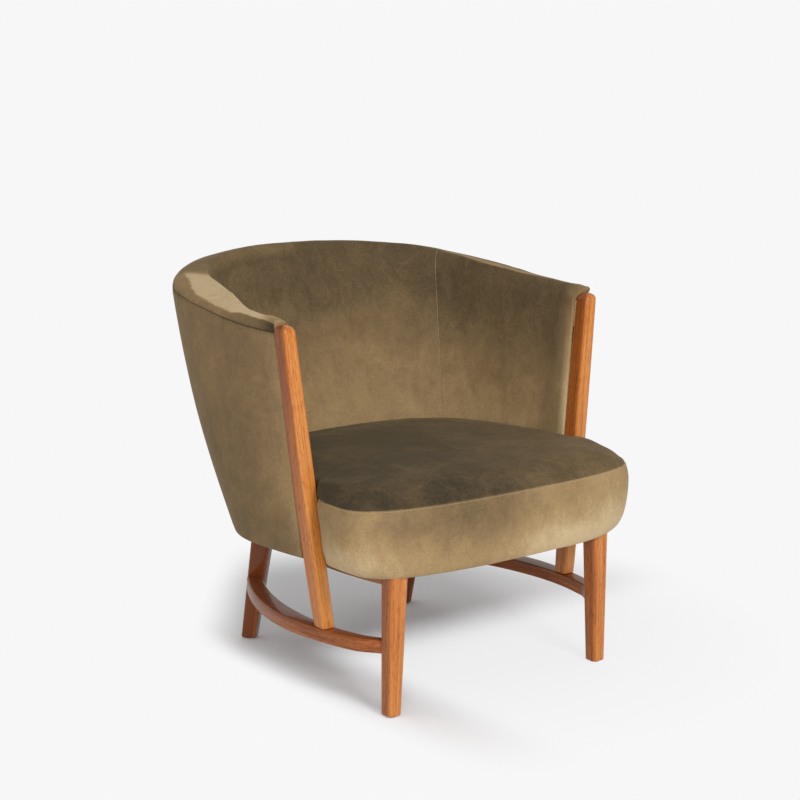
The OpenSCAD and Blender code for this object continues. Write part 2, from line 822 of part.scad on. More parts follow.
seat_cushion();
inside_back_pad();
outside_back_cover();
back_top_rail();
back_bottom_rail();
back_ribs();
seat_board();
seat_webbing();
dust_cover();
front_leg(-1);  // front_leg_left
front_leg(1);  // front_leg_right
rear_leg(-1);  // rear_leg_left
rear_leg(1);  // rear_leg_right
side_stretcher(-1);  // side_stretcher_left
side_stretcher(1);  // side_stretcher_right
arm_post(-1);  // arm_post_left
arm_post(1);  // arm_post_right
seat_rail(-1);  // seat_rail_left
seat_rail(1);  // seat_rail_right
foot_glides();
frame_bolts();
back_bolts();
post_dowels();
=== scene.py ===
"""Tub chair: velvet back and seat, lacquered wood and a plain studio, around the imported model."""

import math
from bisect import bisect_right

import bmesh
import bpy
from bpy.props import FloatProperty, FloatVectorProperty, PointerProperty
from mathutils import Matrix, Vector, noise
from mathutils.kdtree import KDTree


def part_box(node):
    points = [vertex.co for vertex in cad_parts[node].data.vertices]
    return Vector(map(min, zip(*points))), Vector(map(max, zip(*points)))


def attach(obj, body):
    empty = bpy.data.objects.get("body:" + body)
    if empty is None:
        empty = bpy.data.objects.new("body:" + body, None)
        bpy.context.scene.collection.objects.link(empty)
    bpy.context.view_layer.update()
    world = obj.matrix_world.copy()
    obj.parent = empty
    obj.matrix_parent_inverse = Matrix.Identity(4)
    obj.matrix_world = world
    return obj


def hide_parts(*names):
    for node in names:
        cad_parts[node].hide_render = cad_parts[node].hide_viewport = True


bl_info = {
    "name": "Tub Chair",
    "version": (1, 0, 0),
    "blender": (4, 5, 0),
    "location": "3D View > Sidebar > Tub Chair",
    "description": "Dresses the packed tub chair in velvet and lacquered wood, with a plain studio",
    "category": "Object",
}

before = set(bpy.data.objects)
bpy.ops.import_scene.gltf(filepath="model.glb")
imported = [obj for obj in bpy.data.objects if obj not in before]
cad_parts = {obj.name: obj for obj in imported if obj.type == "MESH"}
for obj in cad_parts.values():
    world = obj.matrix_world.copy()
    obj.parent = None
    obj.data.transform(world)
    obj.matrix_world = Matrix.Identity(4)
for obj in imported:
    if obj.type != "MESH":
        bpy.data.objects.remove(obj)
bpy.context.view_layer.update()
BODY = "root"
SIDES = (("left", -1), ("right", 1))
COVER_LOW, COVER_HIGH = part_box("outside_back_cover")
PAD_LOW, PAD_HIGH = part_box("inside_back_pad")
SEAT_LOW, SEAT_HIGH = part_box("seat_cushion")
LEG_LOW, LEG_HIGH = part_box("front_leg_right")
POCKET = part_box("seat_board")[1].z + 0.003
POST_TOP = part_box("arm_post_right")[1].z


# Sizes and colours a user can change

def length(description, default):
    """A length in metres."""
    return FloatProperty(description=description, default=default, subtype="DISTANCE", unit="LENGTH",
                         precision=4)


def colour(description, default):
    """A colour as seen on screen, red, green and blue from 0 to 255."""
    return FloatVectorProperty(description=description, default=[linear(v / 255) for v in default], size=3,
                               min=0, max=1, subtype="COLOR")


def linear(v):
    """Linear value of a screen value."""
    return v / 12.92 if v <= 0.04045 else ((v + 0.055) / 1.055) ** 2.4


class ShellSizes(bpy.types.PropertyGroup):
    """Sizes of the flared back."""
    rim_width: length("Width across the upper rim", COVER_HIGH.x - COVER_LOW.x)
    base_width: length("Width across the lower edge", 0.653)
    rim_back: length("Distance from the middle back to the rim", COVER_HIGH.y)
    base_back: length("Distance from the middle back to the lower edge", 0.214)
    lower_edge: length("Height of the lower edge", COVER_LOW.z)
    back_height: length("Height of the top of the back", PAD_HIGH.z)
    arm_height: length("Height of the roll at the posts", 0.683)
    wall_top: length("Thickness of the wings at the top", 0.078)
    wall_low: length("Thickness of the back low down", 0.084)
    wall_end: length("Thickness beside the posts", 0.031)
    roll_height: length("Height of the roll above the outer seam", 0.026)
    swell: length("How far the cover swells at mid height", 0.013)
    cover_thickness: length("Thickness of the cover and its lining", 0.004)
    rail_thickness: length("Thickness of the bent rails inside", 0.020)


class SeatSizes(bpy.types.PropertyGroup):
    """Sizes of the seat."""
    width: length("Width across the front corners", SEAT_HIGH.x - SEAT_LOW.x)
    front: length("Distance from the middle to the front", -SEAT_LOW.y)
    height: length("Height of the middle of the seat", SEAT_HIGH.z)
    lower_edge: length("Height of the skirt's lower edge", SEAT_LOW.z + 0.0035)
    seam_height: length("Height of the topstitched seam", 0.374)
    side_tuck: length("How far the sides are drawn in at the bottom", 0.045)
    front_tuck: length("How far the front is drawn in at the bottom", 0.010)
    rear_tuck: length("How far the rear is drawn in at the bottom", 0.024)
    shoulder: length("How far in the rounded top edge reaches", 0.044)
    rear_shoulder: length("How far in it reaches along the back", 0.005)
    stitch: length("Length of one stitch", 0.0034)
    stitch_gap: length("Gap between two stitches", 0.0016)


class WoodSizes(bpy.types.PropertyGroup):
    """Sizes of the wooden side frames."""
    leg_top: length("Height of the legs", LEG_HIGH.z)
    foot: length("Width of a leg at the floor", 0.028)
    glide: length("Thickness of a foot glide", LEG_LOW.z)
    front_leg: length("Width of a front leg at its top", 0.038)
    rear_leg: length("Width of a rear leg at its top", 0.040)
    front_foot_x: length("Half the distance between the front feet", 0.242)
    front_foot_y: length("Distance forward to the front feet", 0.314)
    rear_foot_x: length("Half the distance between the rear feet", 0.192)
    rear_foot_y: length("Distance back to the rear feet", 0.205)
    stretcher_top: length("Height of the stretcher's upper face", 0.1344)
    stretcher_height: length("Height of the stretcher bar", 0.024)
    stretcher_width: length("Widest width of the stretcher", 0.036)
    stretcher_bow: length("How far the stretcher bows out", 0.065)
    post_width: length("Width of a post across the chair", 0.0264)
    post_depth: length("Depth of a post", 0.030)
    post_swell: length("How much deeper a post is at mid height", 0.005)
    post_foot_y: length("Distance forward to a post's foot", 0.180)
    post_top: length("Height of the posts", POST_TOP)


class Finishes(bpy.types.PropertyGroup):
    """Colours of the chair and of the studio."""
    # The velvet tones run from deep painted shade to a pale painted highlight; painted light per point and
    # random patches pick among them.
    velvet_deep: colour("Velvet seen against its nap", (50, 42, 27))
    velvet_dark: colour("Velvet in the darker patches", (92, 75, 50))
    velvet_plain: colour("Velvet seen square on", (125, 102, 70))
    velvet_light: colour("Velvet brushed up", (155, 129, 90))
    velvet_pale: colour("Velvet seen along its nap", (186, 164, 127))
    wood_dark: colour("Dark streaks of the wood", (122, 62, 24))
    wood_plain: colour("Ground colour of the wood", (176, 100, 40))
    wood_light: colour("Light streaks of the wood", (206, 136, 66))
    thread: colour("Stitches", (186, 166, 126))
    floor: colour("Floor and background", (247, 247, 248))


class ChairSettings(bpy.types.PropertyGroup):
    """All sizes and colours of the tub chair."""
    shell: PointerProperty(type=ShellSizes)
    seat: PointerProperty(type=SeatSizes)
    wood: PointerProperty(type=WoodSizes)
    finish: PointerProperty(type=Finishes)


# Tables and curves

CLEAR = 0.0003


def lerp(a, b, t):
    return a + (b - a) * t


def ease(x, low=0.0, high=1.0):
    """0 below low, 1 above high, smooth between."""
    t = min(max((x - low) / (high - low), 0.0), 1.0)
    return t * t * (3 - 2 * t)


def bump_at(x, middle, width):
    """1 at the middle, falling to 0 over about the width."""
    return math.exp(-((x - middle) / width) ** 2)


def blend(a, b, c):
    """A place drawn towards its two neighbours."""
    return (a + b * 2 + c) / 4


def quarter(steps, first=0):
    """Turns of a quarter circle in even steps."""
    return [math.pi / 2 * i / steps for i in range(first, steps + 1)]


def ripple(point, size, seed):
    """Smooth noise from about -1 to 1, over lengths of about size."""
    x, y, z = (v / size for v in point)
    return noise.noise(Vector((x + seed, y - seed, z + 2 * seed)))


def softness(point, ripples):
    """Unevenness of padding, from ripples of (height, size, seed)."""
    return sum(height * ripple(point, size, seed) for height, size, seed in ripples)


KNOT_SHARES = (0, 0.3, 0.5, 0.62, 0.74, 0.87, 1)


def smooth(t, values, knots=KNOT_SHARES):
    """Smooth value of a table of shares at place t."""
    i = min(max(bisect_right(knots, t) - 1, 0), len(knots) - 2)

    def slope(k):
        if k == 0:
            return 0.0
        a, b = k - 1, min(k + 1, len(knots) - 1)
        return (values[b] - values[a]) / (knots[b] - knots[a])

    h = knots[i + 1] - knots[i]
    s = (t - knots[i]) / h
    a, b = slope(i) * h, slope(i + 1) * h
    return ((2 * s**3 - 3 * s**2 + 1) * values[i] + (s**3 - 2 * s**2 + s) * a
            + (3 * s**2 - 2 * s**3) * values[i + 1] + (s**3 - s**2) * b)


# The side frames' lines

POST_LEAN = 0.1203
POST_RAKE = 0.036
POST_SWELL_POWER = 0.6
FRONT_LEAN = 0.0274
FRONT_RAKE = 0.0069
REAR_LEAN = 0.011
REAR_RAKE = 0.228
REAR_TURN = math.radians(50)
FRONT_END_SHARE = 0.22
REAR_END_SHARE = 0.35
BOW_POWER = 0.8
DIR_SHARE = 0.05


class SideFrame:
    """Lines of one side frame, on the +X side."""

    def __init__(self, sizes):
        self.s = sizes
        z = sizes.stretcher_top - sizes.stretcher_height / 2
        rear_face = Vector((math.sin(REAR_TURN), -math.cos(REAR_TURN), 0))
        self.front_end = self.front_axis(z)
        self.front_end.x += self.leg_width(sizes.front_leg, z) * FRONT_END_SHARE
        self.rear_end = self.rear_axis(z) + rear_face * self.leg_width(sizes.rear_leg, z) * REAR_END_SHARE

    def front_axis(self, z):
        return Vector((self.s.front_foot_x - z * FRONT_LEAN, -self.s.front_foot_y - z * FRONT_RAKE, z))

    def rear_axis(self, z):
        return Vector((self.s.rear_foot_x - z * REAR_LEAN, self.s.rear_foot_y - z * REAR_RAKE, z))

    def leg_width(self, top, z):
        return lerp(self.s.foot, top, z / self.s.leg_top)

    def stretcher(self, t):
        rise = max(math.sin(math.pi * t), 0) ** BOW_POWER
        x = lerp(self.rear_end.x, self.front_end.x, t) + self.s.stretcher_bow * rise
        return Vector((x, lerp(self.rear_end.y, self.front_end.y, t), self.rear_end.z))

    def stretcher_dir(self, t):
        return (self.stretcher(min(t + DIR_SHARE, 1)) - self.stretcher(max(t - DIR_SHARE, 0))).normalized()

    def post(self, z):
        """Middle of the post, which swells outward and backward."""
        t = (self.rear_end.y + self.s.post_foot_y) / (self.rear_end.y - self.front_end.y)
        up = z - self.s.stretcher_top
        stout = self.post_stout(z)
        return Vector((self.stretcher(t).x + up * POST_LEAN + stout / 4,
                       -self.s.post_foot_y + up * POST_RAKE + stout / 2, z))

    def post_stout(self, z):
        share = (z - self.s.stretcher_top) / (self.s.post_top - self.s.stretcher_top)
        return self.s.post_swell * math.sin(math.pi * min(max(share, 0), 1)) ** POST_SWELL_POWER

    def post_size(self, z):
        stout = self.post_stout(z)
        return self.s.post_width + stout / 2, self.s.post_depth + stout


# The flared back

CREST_SHARES = (1, 0.837, 0.589, 0.424, 0.249, 0.103, 0)
ROLL_SHARES = (1, 1, 0.87, 0.78, 0.87, 0.97, 0.97)
INSET_SHARES = (0.535, 0.635, 0.8, 0.93, 0.72, 0.297, 0.068)
TOP_WALL_SHARES = (0.745, 0.872, 1, 1, 0.617, 0.19, 0)
LOW_WALL_SHARES = (1, 0.736, 0.472, 0.32, 0.21, 0.075, 0)
TURN_SHARE = 0.7
MID_SHARE = 0.1255
RIM_POWER = 2.28
BASE_POWER = 2.19
SWELL_POWER = 6
STEP_SHARE = 0.004
END_IN = 0.0017
END_MARGIN = 1.1
FINE_STEPS = 400
SEAM_REACH = 0.006
SEAM_STEP = 0.0009


class Shell:
    """The flared wall: a lower curve and a rim, joined by straight lines that swell a little."""

    def __init__(self, settings):
        s = self.s = settings.shell
        side = SideFrame(settings.wood)

        def end(z, out):
            place, size = side.post(z), side.post_size(z)
            return place.x + size[0] / 2 + out, place.y + size[1] / 2 + CLEAR

        self.rim_end = end(s.arm_height - s.roll_height * ROLL_SHARES[-1], -END_IN)
        self.base_end = end(s.lower_edge, END_IN)

    def plan(self, u, a, ym, yb, n, end):
        """Half of a plan curve: round to the turn share, then straight on to the post."""
        f = (u - TURN_SHARE) / (1 - TURN_SHARE)
        q = math.pi / 2 * u / TURN_SHARE
        if u <= TURN_SHARE:
            return a * math.sin(q) ** (2 / n), ym + (yb - ym) * max(math.cos(q), 0) ** (2 / n)
        return a - (a - end[0]) * f * f, ym + (end[1] - ym) * f

    def rim(self, u):
        s = self.s
        middle = s.rim_back * MID_SHARE
        return self.plan(u, s.rim_width / 2, middle, s.rim_back, RIM_POWER, self.rim_end)

    def base(self, u):
        s = self.s
        middle = -s.base_back * MID_SHARE
        return self.plan(u, s.base_width / 2, middle, s.base_back, BASE_POWER, self.base_end)

    def crest(self, u):
        return lerp(self.s.arm_height, self.s.back_height, smooth(u, CREST_SHARES))

    def seam(self, u):
        return self.crest(u) - self.s.roll_height * smooth(u, ROLL_SHARES)

    def stations(self, count, end_round, end_steps, seam):
        """Places from post to post, even along the wall, closer at its ends and round its seams."""
        fine = [i / FINE_STEPS for i in range(FINE_STEPS + 1)]
        run = [0.0]
        for a, b in zip(fine, fine[1:]):
            run.append(run[-1] + math.dist(self.rim(a), self.rim(b)))
        whole = run[-1]
        high = run[round(seam.share * FINE_STEPS)]
        first, last = high - SEAM_REACH - max(seam.slant, 0), high + SEAM_REACH
        marks = [whole * i / count for i in range(count + 1)]
        marks = [m for m in marks if m < whole - end_round * END_MARGIN and not first < m < last]
        marks += [whole - end_round * (1 - math.sin(a)) for a in quarter(end_steps)]
        steps = round((last - first) / SEAM_STEP)
        marks += [lerp(first, last, i / steps) for i in range(steps + 1)]
        places = []
        for m in sorted(marks):
            k = min(max(bisect_right(run, m) - 1, 0), FINE_STEPS - 1)
            u = lerp(fine[k], fine[k + 1], (m - run[k]) / (run[k + 1] - run[k]))
            places.append((u, whole - m, m - high))
        half = [Station(self, u, 1, to_end, past) for u, to_end, past in places]
        other = [Station(self, u, -1, to_end, past) for u, to_end, past in reversed(places[1:])]
        return other + half


class SeamLine:
    """A sewn upright seam: where it starts at the rim, and how far it slants by the seat."""

    groove = 0.0016
    soft = 0.02
    soft_share = 0.6
    longest = 1.2

    def __init__(self, share, slant, depth):
        self.share, self.slant, self.depth = share, slant, depth

    def gap(self, station, z):
        """Distance of a place from the seam."""
        down = (station.crest - z) / (station.crest - SEAT_HIGH.z)
        return abs(station.past + self.slant * min(max(down, 0), self.longest))

    def dip(self, station, z):
        """How deep the seam draws the cloth in, with the soft panels rising beside it."""
        gap = self.gap(station, z)
        rise = self.soft_share * (1 - bump_at(gap, 0, self.soft))
        return self.depth * (bump_at(gap, 0, self.groove) - rise)


class Station:
    """One upright section of the flared back."""

    def __init__(self, shell, u, sign=1, to_end=0.0, past=1.0):
        s = shell.s
        self.sizes, self.u, self.sign, self.to_end, self.past = s, u, sign, to_end, past
        self.low, self.high = shell.base(u), shell.rim(u)
        self.crest, self.seam = shell.crest(u), shell.seam(u)
        self.run = max(0.0, (u - TURN_SHARE) / (1 - TURN_SHARE))
        a, b = shell.rim(max(u - STEP_SHARE, 0)), shell.rim(min(u + STEP_SHARE, 1))
        v = (b[0] - a[0], b[1] - a[1])
        n = (0.0, 1.0) if u < STEP_SHARE else (-v[1], v[0] * (1 - self.run**2))
        size = math.hypot(*n)
        self.out = (n[0] / size, n[1] / size)
        self.top_wall = lerp(s.wall_end, s.wall_top, smooth(u, TOP_WALL_SHARES))
        self.low_wall = lerp(s.wall_end, s.wall_low, smooth(u, LOW_WALL_SHARES))
        self.inset = s.wall_top * smooth(u, INSET_SHARES)

    def level(self, z):
        """0 at the lower edge, 1 at the outer seam."""
        return (z - self.sizes.lower_edge) / (self.seam - self.sizes.lower_edge)

    def wall(self, z):
        return lerp(self.low_wall, self.top_wall, min(max(self.level(z), 0), 1))

    def swell(self, z):
        v = self.level(z)
        return self.sizes.swell * 4 * v * (1 - v) * (1 - self.u**SWELL_POWER)

    def at(self, z, depth):
        """Point at a height, and at a depth inward from the straight outer line."""
        v = self.level(z)
        w = lerp(min(v, 1), v, self.run)
        x = self.low[0] + (self.high[0] - self.low[0]) * w - self.out[0] * depth
        y = self.low[1] + (self.high[1] - self.low[1]) * w - self.out[1] * depth
        return Vector((x * self.sign, y, z))


# Meshes

def add_piece(name, points, faces, material, replaces=(), layers=None):
    """A smooth mesh piece on the chair's body."""
    mesh = bpy.data.meshes.new(name)
    mesh.from_pydata([tuple(p) for p in points], [], faces)
    for key, values in (layers or {}).items():
        single = not hasattr(values[0], "__len__")
        layer = mesh.attributes.new(key, "FLOAT" if single else "FLOAT_VECTOR", "POINT")
        flat = values if single else [c for v in values for c in v]
        layer.data.foreach_set("value" if single else "vector", flat)
    book = bmesh.new()
    book.from_mesh(mesh)
    bmesh.ops.recalc_face_normals(book, faces=book.faces)
    book.to_mesh(mesh)
    book.free()
    mesh.shade_smooth()
    mesh.materials.append(material)
    piece = bpy.data.objects.new(name, mesh)
    bpy.context.collection.objects.link(piece)
    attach(piece, BODY)
    if replaces:
        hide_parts(*replaces)
    return piece


def ring_faces(rings, count, closed_ends=True):
    """Faces between matching closed rings, and over both ends."""
    faces = []
    for i in range(rings - 1):
        for j in range(count):
            k = (j + 1) % count
            faces.append((i * count + j, i * count + k, (i + 1) * count + k, (i + 1) * count + j))
    if closed_ends:
        faces.append(tuple(range(count)))
        faces.append(tuple((rings - 1) * count + j for j in reversed(range(count))))
    return faces


def rounded(w, d, r, steps):
    """Rounded rectangle as a closed list of points."""
    made = []
    for q in range(4):
        sx = 1 if q in (0, 3) else -1
        sy = 1 if q < 2 else -1
        for i in range(steps + 1):
            a = math.pi / 2 * (q + i / steps)
            made.append((sx * (w / 2 - r) + r * math.cos(a), sy * (d / 2 - r) + r * math.sin(a)))
    return made


def shrink_profile(profile, by):
    """A closed profile of (depth, height) points moved inward by a distance."""
    n = len(profile)
    area = sum(a[0] * b[1] - b[0] * a[1] for a, b in zip(profile, profile[1:] + profile[:1]))
    turn = 1 if area > 0 else -1
    made = []
    for i in range(n):
        a, b = profile[i - 1], profile[(i + 1) % n]
        t = (b[0] - a[0], b[1] - a[1])
        size = math.hypot(*t) or 1.0
        made.append((profile[i][0] - turn * t[1] / size * by, profile[i][1] + turn * t[0] / size * by))
    return made


def mirrored(points, sign):
    return [Vector((p.x * sign, p.y, p.z)) for p in points]


THREAD_SIDES = 6


def thread_ring(centre, side, over, radius):
    """Points round a place on a thread."""
    turns = (math.tau * k / THREAD_SIDES for k in range(THREAD_SIDES))
    return [centre + side * radius * math.cos(a) + over * radius * math.sin(a) for a in turns]


def add_tube(points, faces, rings):
    """Add a closed tube through rings of a thread to a piece's points and faces."""
    start = len(points)
    for ring in rings:
        points += ring
    faces += [tuple(start + v for v in face) for face in ring_faces(len(rings), THREAD_SIDES)]


# Cloth

CLOTH_VOXEL = 0.0068
CLOTH_PRESSURE = 4.0
CLOTH_FRAMES = 20
CLOTH_NEIGHBOURS = 10


def search_tree(points):
    tree = KDTree(len(points))
    for i, p in enumerate(points):
        tree.insert(p, i)
    tree.balance()
    return tree


def settled_cloth(name, points, faces, held):
    """Blow up an even copy of a closed piece as cloth, held in place as far as each point says.
    Returns the copy's points and how far each one moves."""
    scene = bpy.context.scene
    mesh = bpy.data.meshes.new(name)
    mesh.from_pydata([tuple(p) for p in points], [], faces)
    copy = bpy.data.objects.new(name, mesh)
    bpy.context.collection.objects.link(copy)
    remesh = copy.modifiers.new("remesh", "REMESH")
    remesh.mode = "VOXEL"
    remesh.voxel_size = CLOTH_VOXEL
    even = bpy.data.meshes.new_from_object(copy.evaluated_get(bpy.context.evaluated_depsgraph_get()))
    copy.modifiers.clear()
    copy.data = even
    start = [v.co.copy() for v in even.vertices]
    tree = search_tree(points)
    group = copy.vertex_groups.new(name="held")
    for i, p in enumerate(start):
        group.add([i], held[tree.find(p)[1]], "REPLACE")
    cloth = copy.modifiers.new("cloth", "CLOTH")
    cloth.settings.vertex_group_mass = group.name
    cloth.settings.use_pressure = True
    cloth.settings.uniform_pressure_force = CLOTH_PRESSURE
    cloth.settings.effector_weights.gravity = 0.0
    cloth.point_cache.frame_start = 1
    cloth.point_cache.frame_end = CLOTH_FRAMES
    for number in range(1, CLOTH_FRAMES + 1):
        scene.frame_set(number)
    settled = copy.evaluated_get(bpy.context.evaluated_depsgraph_get()).data
    moves = [v.co - p for v, p in zip(settled.vertices, start)]
    scene.frame_set(1)
    bpy.data.objects.remove(copy)
    bpy.data.meshes.remove(mesh)
    bpy.data.meshes.remove(even)
    return start, moves


def swell(name, points, faces, held, cap):
    """Points of a padded piece after its cloth has settled, none moved further than the cap."""
    start, moves = settled_cloth(name, points, faces, held)
    tree = search_tree(start)
    moved = []
    for p, hold in zip(points, held):
        found = tree.find_n(p, CLOTH_NEIGHBOURS)
        weights = [1 / (distance + CLOTH_VOXEL / 2) for _, _, distance in found]
        move = sum((moves[i] * w for (_, i, _), w in zip(found, weights)), Vector()) / sum(weights)
        moved.append(p + move * (1 - hold) * cap / (cap + move.length))
    return moved


# Materials

class Board:
    """The node board of a material or a world: makes nodes and links them."""

    def __init__(self, store, name):
        self.owner = store.get(name) or store.new(name)
        self.owner.use_nodes = True
        self.tree = self.owner.node_tree
        self.tree.nodes.clear()

    def node(self, kind, settings=None, inputs=None):
        made = self.tree.nodes.new(kind)
        for key, value in (settings or {}).items():
            setattr(made, key, value)
        for key, value in (inputs or {}).items():
            self.put(made.inputs[key], value)
        return made

    def put(self, socket, value):
        if isinstance(value, Value):
            self.tree.links.new(value.socket, socket)
        elif hasattr(value, "__len__") and len(value) == 3 and socket.type == "RGBA":
            socket.default_value = (*value, 1)
        else:
            socket.default_value = value

    def value(self, kind, settings=None, inputs=None, output=0):
        return Value(self, self.node(kind, settings, inputs).outputs[output])

    def place(self):
        return self.value("ShaderNodeTexCoord", output="Object")

    def layer(self, name, output="Fac"):
        return self.value("ShaderNodeAttribute", {"attribute_name": name}, output=output)

    def stretch(self, where, scale):
        return self.value("ShaderNodeVectorMath", {"operation": "MULTIPLY"}, {0: where, 1: scale})

    def noise(self, where, scale, detail=3.0, roughness=0.5, distortion=0.0):
        return self.value("ShaderNodeTexNoise", {"noise_dimensions": "3D"},
                          {"Vector": where, "Scale": scale, "Detail": detail, "Roughness": roughness,
                           "Distortion": distortion})

    def mix(self, share, a, b):
        return self.value("ShaderNodeMix", {"data_type": "RGBA"}, {"Factor": share, 6: a, 7: b}, output=2)

    def range(self, value, low, high, to_low=0.0, to_high=1.0):
        return self.value("ShaderNodeMapRange", {"interpolation_type": "SMOOTHSTEP"},
                          {"Value": value, "From Min": low, "From Max": high, "To Min": to_low,
                           "To Max": to_high})

    def ramp(self, value, *stops):
        """Colours at places from 0 to 1."""
        made = self.node("ShaderNodeValToRGB", {}, {"Fac": value})
        elements = made.color_ramp.elements
        while len(elements) < len(stops):
            elements.new(0.5)
        for element, (place, tint) in zip(elements, stops):
            element.position = place
            element.color = (*tint, 1)
        return Value(self, made.outputs[0])

    def relief(self, strength, distance, height):
        return self.value("ShaderNodeBump", {},
                          {"Strength": strength, "Distance": distance, "Height": height})

    def surface(self, inputs):
        return self.finish(self.value("ShaderNodeBsdfPrincipled", {}, inputs))

    def finish(self, shader, kind="ShaderNodeOutputMaterial"):
        self.node(kind, {}, {"Surface": shader})
        return self.owner


class Value:
    """A socket that can stand in a sum."""

    def __init__(self, board, socket):
        self.board, self.socket = board, socket

    def sum(self, operation, a, b):
        return self.board.value("ShaderNodeMath", {"operation": operation}, {0: a, 1: b})

    def __add__(self, other):
        return self.sum("ADD", self, other)

    def __sub__(self, other):
        return self.sum("SUBTRACT", self, other)

    def __rsub__(self, other):
        return self.sum("SUBTRACT", other, self)

    def __mul__(self, other):
        return self.sum("MULTIPLY", self, other)

    def swing(self, amount):
        """Noise from 0 to 1 as a change up and down."""
        return (self - 0.5) * amount


def velvet(colours):
    """Short-pile velvet: patches brushed both ways, fine pile, painted light and shade per point, a pale
    sheen.
    """
    board = Board(bpy.data.materials, "velvet")
    place = board.place()
    patches = board.noise(place, 7, 4, 0.55, 0.6)
    brushed = board.noise(board.stretch(place, (1, 1, 0.6)), 26, 3, 0.6, 0.8)
    marks = board.noise(place, 95, 3, 0.65, 0.4)
    pile = board.noise(place, 420, 2, 0.6)
    # Painted light and shade per point, plus random patches, brushing, marks and pile, picks the colour on
    # the ramp.
    tone = (board.layer("nap") + patches.swing(0.4) + brushed.swing(0.26) + marks.swing(0.2)
            + pile.swing(0.34))
    return board.surface({
        "Base Color": board.ramp(tone, (0.0, colours.velvet_deep), (0.25, colours.velvet_dark),
                                 (0.5, colours.velvet_plain), (0.75, colours.velvet_light),
                                 (1.0, colours.velvet_pale)),
        "Roughness": board.range(patches, 0.3, 0.7, 0.78, 0.92),
        "Normal": board.relief(0.35, 0.0012, brushed * 0.6 + marks * 0.5 + pile * 0.35),
        "Specular IOR Level": 0.25,
        "Sheen Weight": 0.25,
        "Sheen Roughness": 0.45,
        "Sheen Tint": (*colours.velvet_pale, 1),
    })


def wood(colours):
    """Satin-lacquered wood: streaks, growth bands and short pores along the grain, over painted light and
    shade.
    """
    board = Board(bpy.data.materials, "wood")
    grain = board.layer("grain", "Vector")

    def along(scale, *details):
        return board.noise(board.stretch(grain, scale), 1, *details)

    wander = along((3.0, 14, 14), 2)
    bands = along((1.6, 70, 70), 4, 0.6, 0.9)
    streaks = along((5, 260, 260), 4, 0.62, 0.3)
    fine = board.range(along((55, 1100, 1100), 2, 0.5), 0.60, 0.72)
    short = board.range(along((70, 560, 560), 3, 0.6), 0.54, 0.66)
    # The per-point tone carries painted light and shade; the bands, streaks and pores are the wood's own.
    tone = board.layer("tone") + bands.swing(0.7) + streaks.swing(0.9) + wander.swing(0.3) - short * 0.26
    tints = board.ramp(tone, (0.12, colours.wood_dark), (0.5, colours.wood_plain), (0.88, colours.wood_light))
    return board.surface({
        "Base Color": board.mix(fine * 0.55, tints, [c * 0.55 for c in colours.wood_dark]),
        "Roughness": board.range(streaks, 0.3, 0.7, 0.34, 0.5),
        "Normal": board.relief(0.15, 0.0004, streaks * 0.5 - fine * 0.8),
        "Specular IOR Level": 0.1,
        "Coat Weight": 0.7,
        "Coat IOR": 1.45,
        "Coat Roughness": 0.12,
    })


def thread(colours):
    """Twisted sewing thread."""
    board = Board(bpy.data.materials, "thread")
    twist = board.noise(board.place(), 900, 2)
    return board.surface({
        "Base Color": board.mix(twist, [c * 0.6 for c in colours.thread], tuple(colours.thread)),
        "Roughness": board.range(twist, 0.2, 0.8, 0.6, 0.8),
    })


def plain_grain(name, dark, light, along, rough=0.7, bump=0.2):
    """Raw wood of the hidden frame, or the weave of a strap, by its own scale."""
    board = Board(bpy.data.materials, name)
    lines = board.noise(board.stretch(board.place(), along), 1, 4, 0.6, 0.2)
    return board.surface({
        "Base Color": board.ramp(lines, (0.3, dark), (0.7, light)),
        "Roughness": board.range(lines, 0.3, 0.7, rough, min(rough + 0.15, 1.0)),
        "Normal": board.relief(bump, 0.0005, lines),
    })


def steel():
    """Zinc-plated steel of the bolts."""
    board = Board(bpy.data.materials, "steel")
    cloud = board.noise(board.place(), 300, 3)
    return board.surface({
        "Base Color": board.mix(cloud, (0.42, 0.42, 0.44), (0.62, 0.62, 0.60)),
        "Metallic": 1.0,
        "Roughness": board.range(cloud, 0.3, 0.7, 0.28, 0.45),
    })


# The back

PAD_STATIONS = 170
ROLL_STEPS = 20
TURN_STEPS = 16
FACE_STEPS = 40
FACE_FIRST = ROLL_STEPS + TURN_STEPS
FACE_LAST = FACE_FIRST + FACE_STEPS
BACK_STEPS = 6
ROLL_POWER = 2.25
BACK_TURN = 0.062
END_ROUND = 0.0020
END_STEPS = 5
PAD_SEAM = SeamLine(0.432, 0.020, 0.0012)
VALLEY = 0.0014
PAD_VALLEY_REACH = 0.003
CREST_RISE = 0.0018
CREST_RISE_AT = 0.016
CREST_RISE_REACH = 0.014
WING_FROM = (0.3, 0.62)
SEAM_FROM = (ROLL_STEPS * 0.6, ROLL_STEPS)
LIP = 0.003
LIP_REACH = 0.05
LIP_LOW = 0.400
LIP_HIGH = 0.640
LIP_POWER = 0.7
TURNED_REACH = 0.014
TURNED_DEPTH = 0.0045
LAP = 0.010
LAP_REACH = 0.03
LAP_FROM = 0.022
LAP_TO = 0.006
GATHER = 0.0017
GATHER_REACH = 0.03
GATHER_SIZE = 0.0085
PAD_SOFT = ((0.0012, 0.11, 3.1), (0.0004, 0.03, 1.7))
PAD_SWELL = 0.004


def valley(distance, reach):
    """Depth of the groove beside the outer seam."""
    return VALLEY * math.exp(-distance / reach)


